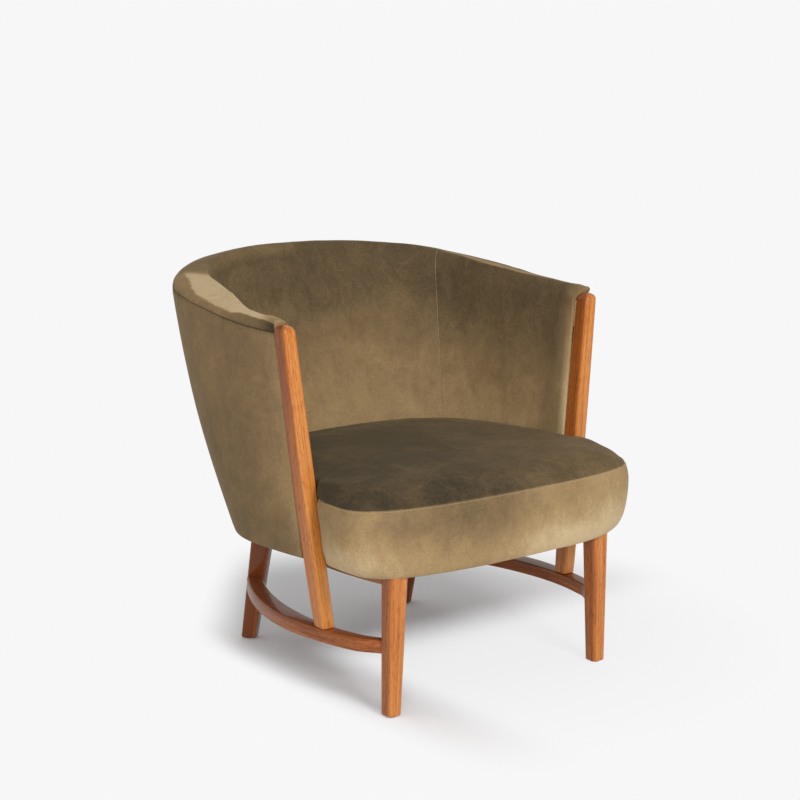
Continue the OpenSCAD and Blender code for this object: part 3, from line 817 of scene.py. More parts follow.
def pad_profile(station):
    """Closed (depth, height) section of the inside pad: up its roll, over, and down the inside."""
    s = station.sizes
    low = station.seam + CLEAR
    crest = station.crest + CREST_RISE * bump_at(station.to_end, CREST_RISE_AT, CREST_RISE_REACH)
    made = []
    for a in quarter(ROLL_STEPS):
        z = low + (crest - low) * math.sin(a) ** (2 / ROLL_POWER)
        depth = station.inset * (1 - max(math.cos(a), 0) ** (2 / ROLL_POWER))
        made.append((depth + valley(z - low, PAD_VALLEY_REACH), z))
    turn = lerp(BACK_TURN, s.roll_height, ease(station.u, *WING_FROM))
    inner = station.wall(crest - turn)
    for a in quarter(TURN_STEPS, 1):
        made.append((lerp(station.inset, inner, math.sin(a)), crest - turn * (1 - math.cos(a))))
    top = made[-1][1]
    for i in range(1, FACE_STEPS + 1):
        z = lerp(top, PAD_LOW.z, i / FACE_STEPS)
        made.append((station.wall(z), z))
    made = [(d - PAD_SEAM.dip(station, z) * ease(k, *SEAM_FROM) + lip(station, z, k), z)
            for k, (d, z) in enumerate(made)]
    back = s.cover_thickness + s.rail_thickness + CLEAR * 2
    return made + [(back, lerp(PAD_LOW.z, low, i / BACK_STEPS)) for i in range(BACK_STEPS + 1)]


def lip(station, z, k):
    """The padding's inner edge is turned in at the post, and proud beside it, between seat and arm."""
    if not FACE_FIRST <= k <= FACE_LAST:
        return 0.0
    rise = min(max((z - LIP_LOW) / (LIP_HIGH - LIP_LOW), 0), 1)
    turned = max(1 - station.to_end / TURNED_REACH, 0) ** 2
    proud = LIP * bump_at(station.to_end, 0, LIP_REACH) - TURNED_DEPTH * turned
    return proud * math.sin(math.pi * rise) ** LIP_POWER


def profile_normal(profile, k):
    """(inward, up) parts of the outward normal of a closed profile at a point."""
    a, b = profile[k - 1], profile[(k + 1) % len(profile)]
    size = math.dist(a, b) or 1.0
    return -(b[1] - a[1]) / size, (b[0] - a[0]) / size


# Painted highlight on the left arm's roll: where it lies, how it fades, and its ragged edge.
PALE_KNOTS = (0.4, 0.5, 0.56, 0.62, 0.68, 0.83, 0.875, 0.94, 1.0)
PALE_LOW_SHARES = (0.3, 0.42, 0.38, 0.25, 0.17, 0.17, 0.32, 0.28, 0.2)
PALE_REAR = 0.425
PALE_ROUND = 0.075
PALE_FADE = (-0.024, 0.026)
PALE_LOW_FADE = 0.04
PALE_PAINTED_HIGHLIGHT = 0.97
RAGGED = 0.035
# Painted light and shade of the inside pad: lighter low, darker at the top, lighter on the rolls, a painted
# highlight at the ends beside the posts and along the right roll's edge.
INSIDE_LOW_PAINTED_LIGHT = 0.68
INSIDE_TOP_PAINTED_LIGHT = 0.22
END_PAINTED_HIGHLIGHT = 0.34
END_PAINTED_HIGHLIGHT_REACH = 0.024
ROLL_BACK_PAINTED_LIGHT = 0.34
ROLL_ARM_PAINTED_LIGHT = 0.5
ROLL_END_PAINTED_LIGHT = 0.36
ROLL_ARM_FROM = (0.42, 0.48)
ROLL_END_FROM = (0.78, 0.9)
ROLL_FADE = (ROLL_STEPS + 5, ROLL_STEPS + 11)
RIGHT_ROLL_PAINTED_LIGHT = 0.4
RIGHT_ROLL_FADE = (ROLL_STEPS - 3, ROLL_STEPS + 4)
RIGHT_EDGE_PAINTED_HIGHLIGHT = 0.3
RIGHT_EDGE_FROM = (0.4, 0.5)
# Painted shade: in the seam's groove, beside the posts, and in the crease just above the outer seam.
SEAM_PAINTED_SHADE = 0.1
POST_PAINTED_SHADE = 0.3
CREASE_PAINTED_SHADE = 0.12
CREASE_REACH = 0.0016
FREE_FROM = (ROLL_STEPS - 2, ROLL_STEPS + 8)


def painted_highlight_zone(u, depth_share):
    """The painted highlight on top of the left arm's roll: its rounded rear end, and its lower edge above the
    seam.
    """
    rear = PALE_REAR + PALE_ROUND * min(depth_share, 1)
    low = smooth(u, PALE_LOW_SHARES, PALE_KNOTS)
    return ease(u - rear, *PALE_FADE) * ease(depth_share - low, -PALE_LOW_FADE, PALE_LOW_FADE)


def pad_painted_light(station, k, z, depth):
    """Painted light and shade on the inside pad: pale on the left arm's roll, lighter low in the back."""
    u = station.u
    share = (z - SEAT_HIGH.z) / (station.crest - SEAT_HIGH.z)
    inside = lerp(INSIDE_LOW_PAINTED_LIGHT, INSIDE_TOP_PAINTED_LIGHT, ease(share, 0.0, 0.9))
    # Painted highlight along the pad's ends beside the posts.
    inside += END_PAINTED_HIGHLIGHT * bump_at(station.to_end, 0, END_PAINTED_HIGHLIGHT_REACH)
    # Painted shade in the seam's groove.
    inside -= SEAM_PAINTED_SHADE * bump_at(PAD_SEAM.gap(station, z), 0, 0.0015)
    if k > FACE_FIRST:
        return inside
    if station.sign > 0:
        # Painted highlight along the inner edge of the right roll.
        edge = RIGHT_EDGE_PAINTED_HIGHLIGHT * bump_at(k, ROLL_STEPS - 1, 2.5) * ease(u, *RIGHT_EDGE_FROM)
        return lerp(RIGHT_ROLL_PAINTED_LIGHT, inside, ease(k, *RIGHT_ROLL_FADE)) + edge
    arm = lerp(ROLL_ARM_PAINTED_LIGHT, ROLL_END_PAINTED_LIGHT, ease(u, *ROLL_END_FROM))
    roll = lerp(ROLL_BACK_PAINTED_LIGHT, arm, ease(u, *ROLL_ARM_FROM))
    ragged = RAGGED * ripple((u * 1.4, depth * 2, 0.3), 0.03, 5.1)
    # Painted highlight on the left arm's roll.
    roll = lerp(roll, PALE_PAINTED_HIGHLIGHT, painted_highlight_zone(u, depth / station.inset + ragged))
    # Painted shade beside the post and in the crease above the outer seam.
    roll -= POST_PAINTED_SHADE * bump_at(station.to_end, 0, 0.02)
    roll -= CREASE_PAINTED_SHADE * math.exp(-(z - station.seam) / CREASE_REACH)
    return lerp(roll, inside, ease(k, *ROLL_FADE))


def pad_held(station, k, z):
    """How firmly the pad's cloth is held: at the outer seam, the posts, the sewn seams and by the seat."""
    free = ease(k, *FREE_FROM) * ease(FACE_LAST - k, 0, 4)
    free *= ease(station.to_end, 0.006, 0.035) * ease(z, SEAT_HIGH.z, SEAT_HIGH.z + 0.04)
    return 1 - free * (1 - 0.8 * bump_at(PAD_SEAM.gap(station, z), 0, 0.006))


def pad_point(station, profile, k):
    """A point of the pad, with its soft unevenness, its gathers, and its lap over the post's top."""
    depth, z = profile[k]
    inward, up = profile_normal(profile, k)
    soft = 0.0
    if k <= FACE_LAST:
        gathers = GATHER * math.exp(-station.to_end / GATHER_REACH)
        gathers *= ripple((station.to_end, k * 0.0022, station.sign), GATHER_SIZE, 4.0) * ease(up, 0.0, 0.4)
        soft = softness(station.at(z, depth), PAD_SOFT) + gathers
    point = station.at(z + soft * up, depth + soft * inward)
    arm = station.sizes.arm_height
    lap = LAP * max(1 - station.to_end / LAP_REACH, 0) ** 2 * ease(z, arm - LAP_FROM, arm - LAP_TO)
    point.y -= lap
    point.x += lap / 2 * station.sign * (1 - ease(depth, 0, station.inset * 6))
    return point


def build_back_pad(settings, material, thread_material):
    stations = Shell(settings).stations(PAD_STATIONS, END_ROUND, END_STEPS, PAD_SEAM)
    points, nap, held = [], [], []
    for station in stations:
        profile = pad_profile(station)
        left = END_ROUND - station.to_end
        if left > 0:
            profile = shrink_profile(profile, END_ROUND - math.sqrt(max(END_ROUND**2 - left**2, 0)))
        for k, (depth, z) in enumerate(profile):
            points.append(pad_point(station, profile, k))
            nap.append(pad_painted_light(station, k, z, depth))
            held.append(pad_held(station, k, z))
    faces = ring_faces(len(stations), len(profile))
    points = swell("back_pad_cloth", points, faces, held, PAD_SWELL)
    piece = add_piece("back_pad", points, faces, material, ["inside_back_pad"], {"nap": nap})
    near = [t for t in stations if -PAD_SEAM.slant * 1.3 - SEAM_REACH < t.past < SEAM_REACH]
    build_seam_threads(near, thread_material)


SEAM_THREAD = 0.0004


def build_seam_threads(stations, material):
    """The thread that shows in the inside's two sewn seams, a fine cord along each."""
    points, faces = [], []
    for sign in (-1, 1):
        side = sorted((t for t in stations if t.sign == sign), key=lambda t: t.past)
        profiles = [pad_profile(t) for t in side]
        track = []
        for k in range(ROLL_STEPS + 3, FACE_LAST):
            near = min(range(len(side)), key=lambda i: PAD_SEAM.gap(side[i], profiles[i][k][1]))
            depth, z = profiles[near][k]
            track.append(side[near].at(z, depth + SEAM_THREAD))
        for _ in range(4):
            track[1:-1] = [blend(a, b, c) for a, b, c in zip(track, track[1:], track[2:])]
        rings = []
        for i, p in enumerate(track):
            along = (track[min(i + 1, len(track) - 1)] - track[max(i - 1, 0)]).normalized()
            across = along.cross(Vector((0.31, 0.87, 0.38))).normalized()
            rings.append(thread_ring(p, across, along.cross(across), SEAM_THREAD))
        add_tube(points, faces, rings)
    add_piece("back_pad_seams", points, faces, material)


# The outside cover

COVER_STEPS = 44
COVER_BACK_STEPS = 12
COVER_SEAM = SeamLine(0.3, 0.0, 0.0020)
COVER_END = 0.003
HEM = 0.030
HEM_TURN = 0.005
HEM_STEPS = 4
HEM_BELOW = 0.0014
COVER_VALLEY_REACH = 0.0035
COVER_SOFT = ((0.0011, 0.13, 5.3),)
# Painted light and shade of the outside cover: levels low and high, lighter beside the posts, painted shade
# in the groove under the outer seam and along the sewn seam.
COVER_LOW_PAINTED_LIGHT = 0.41
COVER_TOP_PAINTED_LIGHT = 0.46
COVER_POST_PAINTED_LIGHT = 0.2
COVER_CREASE_PAINTED_SHADE = 0.12
COVER_SEAM_PAINTED_SHADE = 0.2


def cover_profile(station):
    """Closed (depth, height) section of the outer cover: turned under the rail, up to the seam."""
    s = station.sizes
    low, high, r = s.lower_edge, station.seam, HEM_TURN
    made = [(HEM, low - 0.0012), (HEM * 0.5, low - 0.0013)]
    made += [(r - r * math.sin(a), low - HEM_BELOW + r - r * math.cos(a)) for a in quarter(HEM_STEPS)]
    start = made[-1][1]
    for i in range(1, COVER_STEPS + 1):
        z = lerp(start, high, i / COVER_STEPS)
        made.append((valley(high - z, COVER_VALLEY_REACH) - station.swell(z), z))
    for i in range(COVER_BACK_STEPS + 1):
        z = lerp(high, low, i / COVER_BACK_STEPS)
        made.append((s.cover_thickness - station.swell(z), z))
    return made + [(HEM, low - CLEAR)]


def cover_painted_light(station, z):
    """Painted light and shade on the outside: lighter beside the posts and towards the seam, darker under it.
    """
    nap = lerp(COVER_LOW_PAINTED_LIGHT, COVER_TOP_PAINTED_LIGHT, ease(z, station.sizes.lower_edge, station.seam))
    nap += COVER_POST_PAINTED_LIGHT * math.exp(-station.to_end / 0.03)
    nap -= COVER_CREASE_PAINTED_SHADE * math.exp(-(station.seam - z) / 0.003)
    return nap - COVER_SEAM_PAINTED_SHADE * bump_at(COVER_SEAM.gap(station, z), 0, 0.002)


def build_back_cover(settings, material):
    stations = Shell(settings).stations(PAD_STATIONS, COVER_END, 3, COVER_SEAM)
    points, nap = [], []
    for station in stations:
        profile = cover_profile(station)
        for k, (depth, z) in enumerate(profile):
            soft = 0.0
            if 2 <= k < 2 + HEM_STEPS + 1 + COVER_STEPS:
                soft = softness(station.at(z, depth), COVER_SOFT) + COVER_SEAM.dip(station, z)
            points.append(station.at(z, depth + soft))
            nap.append(cover_painted_light(station, z))
    faces = ring_faces(len(stations), len(profile))
    piece = add_piece("back_cover", points, faces, material, ["outside_back_cover"], {"nap": nap})


# The seat

SEAT_MID = 0.270
SEAT_POWER = 2.9
EAR_X = 0.302
EAR_POWER = 2.2
EAR_DEPTH = 0.081
EAR_SHARE = 0.4
EAR_LEAN = 0.25
NECK_GAP = 0.0015
NECK_X = 0.2955
FRONT_STEPS = 72
EAR_STEPS = 18
NECK_STEPS = 8
WALL_STEPS = 84
RING_PASSES = 8
SOFT_CLEAR = 0.0006
HEM_ROWS = ((0.0045, 0.0062, 1.4), (0.0008, 0.0035, 1.2))
SIDE_ROWS = ((0, 1, 1), (0.027, 0.77, 0.67), (0.094, 0.47, 0.33), (0.22, 0.23, 0), (0.42, 0.07, 0),
             (0.66, 0, 0), (0.83, 0.02, 0), (1, 0.2, 0.1))
SHOULDER_ROWS = ((0.41, 0.38, 0.1), (0.76, 0.68, 0.3), (1, 1, 0.8))
SHOULDER_SHARE = 0.8
SEAM_ROWS = (0.0009, 0.002, 0.0034, 0.0052, 0.0075, 0.0105, 0.0145)
STITCH_ROW = 0.0034
ROW_STEP = 0.0045
CURVE_STEPS = 24
CROWN_MID = 0.060
CROWN_POWER = 2.6
CROWN_BLEND = 1.5
CROWN_STEPS = 26
WAY_PASSES = 60
TOP_PASSES = 6


class SeatForm:
    """Outline and side of the seat."""

    def __init__(self, settings):
        self.s = settings.seat
        shell = Shell(settings)
        self.wall = [Station(shell, 1 - i / WALL_STEPS) for i in range(WALL_STEPS + 1)]

    def half(self, z, rear_z, side_in, front_in, rear_inset):
        """Half outline from the middle of the front to the middle of the back."""
        s = self.s
        made = []
        for q in quarter(FRONT_STEPS):
            x = (s.width / 2 - side_in) * math.sin(q) ** (2 / SEAT_POWER)
            y = -SEAT_MID - (s.front - SEAT_MID - front_in) * max(math.cos(q), 0) ** (2 / SEAT_POWER)
            made.append(Vector((x, y, z)))
        above = ease(z, s.seam_height, s.seam_height + 0.004)
        lean = EAR_LEAN * max(s.seam_height - z, 0)
        for i, q in enumerate(quarter(EAR_STEPS, 1), 1):
            full = lerp(side_in, 0, above * ease(i / EAR_STEPS))
            drawn = max(full, lean * ease(i / EAR_STEPS, 0, 0.7))
            ear = EAR_X - drawn * EAR_SHARE
            x = ear + (s.width / 2 - drawn - ear) * max(math.cos(q), 0) ** (2 / EAR_POWER)
            y = -SEAT_MID + (EAR_DEPTH - min(front_in, rear_inset)) * math.sin(q) ** (2 / EAR_POWER)
            made.append(Vector((x, y, z)))
        rear = [t.at(rear_z, t.wall(rear_z) + SOFT_CLEAR + rear_inset) for t in self.wall]
        neck = Vector((max(rear[0].x, NECK_X), -SEAT_MID + EAR_DEPTH + NECK_GAP, rear_z))
        last = made[-1]
        made += [last.lerp(neck, i / NECK_STEPS) for i in range(1, NECK_STEPS + 1)]
        return made + rear

    def ring(self, row):
        half = self.half(*row)
        ring = half + mirrored(reversed(half[1:-1]), -1)
        for _ in range(RING_PASSES):
            ring = [blend(a, b, c) for a, b, c in zip(ring[-1:] + ring, ring, ring[1:] + ring[:1])]
        return ring

    def rows(self):
        """Rows (z, rear z, side, front and rear inset) from the skirt's inner edge to the shoulder, with
        each row's distance above the seam."""
        s = self.s
        knots = [(s.lower_edge + up, POCKET, s.side_tuck + tuck, s.front_tuck + tuck, s.rear_tuck * share)
                 for up, tuck, share in HEM_ROWS]
        for rise, share, rear in SIDE_ROWS:
            z = lerp(s.lower_edge, s.seam_height, rise)
            knots.append((z, max(z, POCKET), s.side_tuck * share, s.front_tuck * share, s.rear_tuck * rear))
        for rise, share, rear in SHOULDER_ROWS:
            z = s.seam_height + (s.height - s.seam_height) * SHOULDER_SHARE * rise
            knots.append((z, z, s.shoulder * share, s.shoulder * share, s.rear_shoulder * rear))
        return curve_rows(knots, len(knots) - len(SHOULDER_ROWS) - 1)


def curve_rows(knots, seam):
    """Rows along a smooth curve through knots, even except close to the seam."""
    def between(a, b, c, d, t):
        square, cube = 2 * a - 5 * b + 4 * c - d, 3 * b - a - 3 * c + d
        return 0.5 * (2 * b + (c - a) * t + square * t * t + cube * t**3)

    fine, marks = [], [0.0]
    for i in range(len(knots) - 1):
        near = [knots[min(max(k, 0), len(knots) - 1)] for k in (i - 1, i, i + 1, i + 2)]
        for k in range(CURVE_STEPS):
            fine.append(tuple(between(*values, k / CURVE_STEPS) for values in zip(*near)))
    fine.append(knots[-1])
    for a, b in zip(fine, fine[1:]):
        marks.append(marks[-1] + math.hypot(b[0] - a[0], b[2] - a[2]))
    middle = marks[seam * CURVE_STEPS]
    wanted = [middle - r for r in reversed(SEAM_ROWS)] + [middle] + [middle + r for r in SEAM_ROWS]
    while wanted[0] - ROW_STEP > ROW_STEP * 0.5:
        wanted.insert(0, wanted[0] - ROW_STEP)
    wanted.insert(0, 0.0)
    while wanted[-1] + ROW_STEP < marks[-1]:
        wanted.append(wanted[-1] + ROW_STEP)
    rows = []
    for w in wanted:
        k = min(max(bisect_right(marks, w) - 1, 0), len(fine) - 2)
        t = (w - marks[k]) / max(marks[k + 1] - marks[k], 1e-9)
        rows.append((tuple(lerp(p, q, t) for p, q in zip(fine[k], fine[k + 1])), w - middle))
    return rows


def crown_ways(rim):
    """Directions from the crown's middle to each point of its rim, evened out past the concave corners."""
    turns = [math.atan2(p.x, -(p.y + CROWN_MID)) % math.tau for p in rim]
    turns[0] = 0.0
    for _ in range(WAY_PASSES):
        turns[1:] = [blend(a, b, c) for a, b, c in zip(turns, turns[1:], turns[2:] + [math.tau])]
    return [Vector((math.sin(a), -math.cos(a), 0)) for a in turns]


def seat_rings(settings):
    """Rings of the seat's cloth, from the skirt's inner edge to the crown."""
    form = SeatForm(settings)
    s = settings.seat
    rings, above = [], []
    for row, distance in form.rows():
        rings.append(form.ring(row))
        above.append(distance)
    rim = rings[-1]
    ways = crown_ways(rim)
    across = s.width / 2 - s.shoulder
    for i in range(1, CROWN_STEPS):
        share = i / CROWN_STEPS
        ring = []
        for p, d in zip(rim, ways):
            forward = s.front - s.shoulder - CROWN_MID if d.y < 0 else settings.shell.base_back + CROWN_MID
            size = abs(d.x / across) ** CROWN_POWER + abs(d.y / forward) ** CROWN_POWER
            even = d * size ** (-1 / CROWN_POWER)
            q = Vector((p.x, p.y + CROWN_MID, 0)).lerp(even, min(1, share * CROWN_BLEND)) * (1 - share)
            ring.append(Vector((q.x, q.y - CROWN_MID, lerp(rim[0].z, s.height, 1 - (1 - share) ** 4))))
        rings.append(ring)
        above.append(1.0)
    seam = above.index(0.0)
    for _ in range(TOP_PASSES):
        for i in range(seam + 2, len(rings) - 1):
            rings[i] = [blend(a, b, c) for a, b, c in zip(rings[i - 1], rings[i], rings[i + 1])]
    return rings, above


CORNER = (0.313, -0.205, 0.0016, 0.036)
FLANK = (0.286, -0.165, 0.0016, 0.045)
CORNER_FORM = ((0.305, -0.24, 0.004, 0.035), (0.305, -0.30, -0.003, 0.04))
LIFT_FROM = (0.001, 0.014)
HELD_FROM = (0.003, 0.022)
GROOVE = 0.0016
PUCKER = 0.0005
PUCKER_SIZE = 0.012
SEAT_SOFT = ((0.0014, 0.10, 7.7), (0.0005, 0.035, 2.2))
SEAT_SWELL = 0.005
# Painted light and shade of the seat: the border lighter to the right, at the left end and low down, with
# painted shade across its middle; the top painted dark, lighter to the right and front, darker to the back.
BORDER_LEFT_PAINTED_LIGHT = 0.42
BORDER_RIGHT_PAINTED_LIGHT = 0.74
BORDER_LOW_PAINTED_LIGHT = 0.28
BORDER_LOW_FROM = (0.02, 0.11)
BORDER_END_PAINTED_LIGHT = 0.24
BORDER_MID_PAINTED_SHADE = 0.09
TOP_RIGHT_PAINTED_LIGHT = 0.2
TOP_FRONT_PAINTED_LIGHT = 0.08
TOP_REAR_PAINTED_SHADE = 0.05


def seat_painted_light(s, p, above):
    """Painted light and shade on the seat: a light border, more so to the right and low down; a dark top."""
    border = lerp(BORDER_LEFT_PAINTED_LIGHT, BORDER_RIGHT_PAINTED_LIGHT, ease(p.x, -s.width / 2, s.width / 2))
    border += BORDER_LOW_PAINTED_LIGHT * ease(s.seam_height - p.z, *BORDER_LOW_FROM)
    border += BORDER_END_PAINTED_LIGHT * bump_at(p.x, -s.width / 2, 0.10) - BORDER_MID_PAINTED_SHADE * bump_at(p.x, -0.09, 0.13)
    top = TOP_RIGHT_PAINTED_LIGHT * ease(p.x - p.y * 0.4, -0.1, 0.42)
    top += TOP_FRONT_PAINTED_LIGHT * ease(-p.y, 0.12, 0.3) - TOP_REAR_PAINTED_SHADE * ease(p.y, -0.1, 0.1)
    return lerp(border, top, ease(above, -0.0006, 0.0006))


def lift_at(p, x, y, size, reach):
    """Part of a small rise, or fall, round a place of either side."""
    return size * bump_at(math.hypot(abs(p.x) - x, p.y - y), 0, reach)


def lifted(p, above):
    """A point of the top with the form of its corner."""
    lift = max(lift_at(p, *CORNER), lift_at(p, *FLANK)) + sum(lift_at(p, *form) for form in CORNER_FORM)
    return p + Vector((0, 0, lift * ease(above, *LIFT_FROM)))


def sewn(rings, i, j, p, above):
    """A point of the seat's cloth with the seam's groove and puckers, and soft unevenness away from it."""
    ring = rings[i]
    along = (ring[(j + 1) % len(ring)] - ring[j - 1]).normalized()
    up = rings[min(i + 1, len(rings) - 1)][j] - rings[max(i - 1, 0)][j]
    normal = along.cross(up).normalized() if up.length > 1e-7 else Vector((0, 0, 1))
    near = math.exp(-abs(above) / PUCKER_SIZE)
    pucker = PUCKER * near * ripple(p, PUCKER_SIZE, 9.0)
    groove = GROOVE * bump_at(above, 0, GROOVE)
    drawn = Vector((along.y * 0.6, -along.x * 0.6, 0.4)) * groove
    return p + normal * (pucker + softness(p, SEAT_SOFT) * (1 - near)) - drawn


def build_seat(settings, material, thread_material):
    rings, above = seat_rings(settings)
    s = settings.seat
    count = len(rings[0])
    points, nap, held = [], [], []
    for i, ring in enumerate(rings):
        for j, p in enumerate(ring):
            corner = lift_at(p, *CORNER[:2], 1, CORNER[3] * 1.6)
            held.append(max(1 - ease(above[i], *HELD_FROM), corner))
            p = lifted(p, above[i])
            points.append(sewn(rings, i, j, p, above[i]))
            nap.append(seat_painted_light(s, p, above[i]))
    faces = ring_faces(len(rings), count, closed_ends=False)
    points.append(Vector((0, -CROWN_MID, s.height)))
    nap.append(seat_painted_light(s, points[-1], 1))
    held.append(0.0)
    top = len(points) - 1
    last = (len(rings) - 1) * count
    faces += [(last + j, last + (j + 1) % count, top) for j in range(count)]
    base = len(points)
    points += [Vector((p.x * 0.995, p.y * 0.995, POCKET)) for p in rings[0]]
    # The bottom, down in the seat board's pocket, gets a dark painted shade level.
    nap += [0.1] * count
    held += [1.0] * count
    faces += [(j, (j + 1) % count, base + (j + 1) % count, base + j) for j in range(count)]
    faces.append(tuple(base + j for j in range(count)))
    settled = swell("seat_pad_cloth", points, faces, held, SEAT_SWELL)
    points = [Vector((q.x, q.y, max(p.z, q.z))) for p, q in zip(points, settled)]
    piece = add_piece("seat_pad", points, faces, material, ["seat_cushion"], {"nap": nap})
    build_topstitch(s, rings, above, thread_material)


STITCH_FORM = ((-0.5, 0.35), (-0.3, 1.0), (0.3, 1.0), (0.5, 0.35))
STITCH_RADIUS = 0.00045
STITCH_OUT = 0.0003


def build_topstitch(s, rings, above, material):
    """Stitches along the border, just under the seam, from one post round the front to the other."""
    row = min(range(len(above)), key=lambda i: abs(above[i] + STITCH_ROW))
    ring, over = rings[row], rings[row + 1]
    reach = FRONT_STEPS + EAR_STEPS - 4
    track = [(ring[j % len(ring)], over[j % len(ring)]) for j in range(-reach, reach + 1)]
    points, faces = [], []
    walked, start = 0.0, 0.0
    for (a, over_a), (b, over_b) in zip(track, track[1:]):
        size = (b - a).length
        along = (b - a).normalized()
        while start < walked + size:
            t = (start - walked) / size
            middle = a.lerp(b, t)
            up = (over_a.lerp(over_b, t) - middle).normalized()
            out = along.cross(up).normalized()
            middle += out * STITCH_OUT
            add_tube(points, faces, [
                thread_ring(middle + along * s.stitch * place, up, out, STITCH_RADIUS * wide)
                for place, wide in STITCH_FORM])
            start += s.stitch + s.stitch_gap
        walked += size
    add_piece("seat_topstitch", points, faces, material)


# The wooden side frames

SECTION_STEPS = 8
FRONT_LEG_SEED = 1.3
REAR_LEG_SEED = 3.9
STRETCHER_SEED = 6.2
POST_SEED = 8.7
FRONT_ROUND_SHARE = 0.27
REAR_ROUND_SHARE = 0.17
FOOT_ROUND = 0.0028
FOOT_STEPS = 5
LEG_STEPS = 24
# Painted shade on leg sides facing across, painted light on those facing front or back. Front legs sit at the
# wood's plain level; rear legs are set darker as painted shade.
LEG_FACING_SHADE = 0.3
FRONT_LEG_TONE = 0.5
REAR_LEG_PAINTED_SHADE = -0.08
UPRIGHT_SHIFT = (0.37, -0.21)
STRETCHER_SHIFT = (0.3, -0.4)
STRETCH_WIDTH_SHARES = (0.84, 0.98, 1, 0.9, 0.79, 0.72, 0.42)
# The stretchers are set darker than the plain wood as painted shade.
STRETCHER_PAINTED_SHADE = 0.28
STRETCHER_STEPS = 90
STRETCHER_EVEN = 0.35
STRETCHER_IN_LEG = 0.004
STRETCHER_ROUND = 0.0028
TAIL_FROM = 0.88
TAIL_IN = 0.010
# Painted light and shade of the posts: lighter at the foot beside the seat, darker towards the top, and
# darker on sides facing across than on those facing front.
POST_FOOT_PAINTED_LIGHT = 0.74
POST_TOP_PAINTED_SHADE = 0.24
POST_FACING_SHADE = 0.42
POST_STEPS = 30
POST_EDGE = 0.0055
POST_FOOT_ROUND = 0.002
POST_FOOT_TURNS = (0.0, 0.5, 1.0, math.pi / 2)
NOSE = 0.012
NOSE_TURN = math.radians(88)
NOSE_STEPS = 14


def wood_bar(name, parts, shift, sign, material, seed, tones, facing_shade=0.0):
    """A wooden bar through parts, each an outline, its centre, its two ways and its place along the
    grain. Painted light or shade runs from its first part to its last; sides facing across are painted
    darker, those facing front or back lighter."""
    rings, grain, shades = [], [], []
    for i, (outline, centre, across, over, along) in enumerate(parts):
        ring = mirrored([centre + across * x + over * y for x, y in outline], sign)
        rings.append(ring)
        grain += [(along + seed, x + seed * shift[0], y + seed * shift[1]) for x, y in outline]
        tone = lerp(*tones, i / (len(parts) - 1))
        middle = sum(ring, Vector()) / len(ring)
        reach = max((p - middle).length for p in ring)
        shades += [tone + facing_shade * (((p.y - middle.y) / reach) ** 2 - ((p.x - middle.x) / reach) ** 2)
                   for p in ring]
    points = [p for ring in rings for p in ring]
    faces = ring_faces(len(rings), len(rings[0]))
    add_piece(name, points, faces, material, [name], {"grain": grain, "tone": shades})


def foot_and_shaft(foot, cut, turns, top, steps):
    """Levels (height, how far it is cut back all round) of a bar with a rounded foot."""
    levels = [(foot + cut * (1 - math.cos(a)), cut * (1 - math.sin(a))) for a in turns]
    return levels + [(lerp(foot + cut, top, i / steps), 0.0) for i in range(1, steps + 1)]


def build_leg(name, side, axis, top, round_share, turn, tone, sign, material, seed):
    across = Vector((math.cos(turn), math.sin(turn), 0))
    over = Vector((-math.sin(turn), math.cos(turn), 0))
    parts = []
    for z, cut in foot_and_shaft(side.s.glide, FOOT_ROUND, quarter(FOOT_STEPS), side.s.leg_top, LEG_STEPS):
        w = side.leg_width(top, z) - 2 * cut
        parts.append((rounded(w, w, w * round_share, SECTION_STEPS), axis(z), across, over, z))
    wood_bar(name, parts, UPRIGHT_SHIFT, sign, material, seed, (tone, tone), LEG_FACING_SHADE)


def build_post(name, side, sign, material, seed):
    s = side.s
    body = s.post_top - NOSE
    levels = foot_and_shaft(s.stretcher_top + CLEAR, POST_FOOT_ROUND, POST_FOOT_TURNS, body, POST_STEPS)
    for i in range(1, NOSE_STEPS + 1):
        a = NOSE_TURN * i / NOSE_STEPS
        levels.append((body + NOSE * math.sin(a), NOSE * (1 - math.cos(a))))
    parts = []
    for z, cut in levels:
        w, d = (size - 2 * cut for size in side.post_size(z))
        r = min(max(POST_EDGE - cut * 0.2, 0.002), w / 2 - 0.0003)
        parts.append((rounded(w, d, r, SECTION_STEPS), side.post(z), Vector((1, 0, 0)), Vector((0, 1, 0)), z))
    wood_bar(name, parts, UPRIGHT_SHIFT, sign, material, seed, (POST_FOOT_PAINTED_LIGHT, POST_TOP_PAINTED_SHADE), POST_FACING_SHADE)


def build_stretcher(name, side, sign, material, seed):
    s = side.s
    z = side.rear_end.z
    stop = side.front_axis(z).y + side.leg_width(s.front_leg, z) / 2 - STRETCHER_IN_LEG
    last = (side.rear_end.y - stop) / (side.rear_end.y - side.front_end.y)
    parts, walked, before = [], 0.0, None
    for i in range(STRETCHER_STEPS + 1):
        share = i / STRETCHER_STEPS
        t = last * lerp(share, (1 - math.cos(math.pi * share)) / 2, STRETCHER_EVEN)
        c, d = side.stretcher(t), side.stretcher_dir(t)
        c.x -= TAIL_IN * ease(t, TAIL_FROM, last)
        walked += (c - before).length if before else 0.0
        before = c
        w = s.stretcher_width * smooth(t, STRETCH_WIDTH_SHARES)
        outline = rounded(w, s.stretcher_height, STRETCHER_ROUND, 5)
        parts.append((outline, c, Vector((-d.y, d.x, 0)), Vector((0, 0, 1)), walked))
    wood_bar(name, parts, STRETCHER_SHIFT, sign, material, seed, (STRETCHER_PAINTED_SHADE, STRETCHER_PAINTED_SHADE))


# The studio

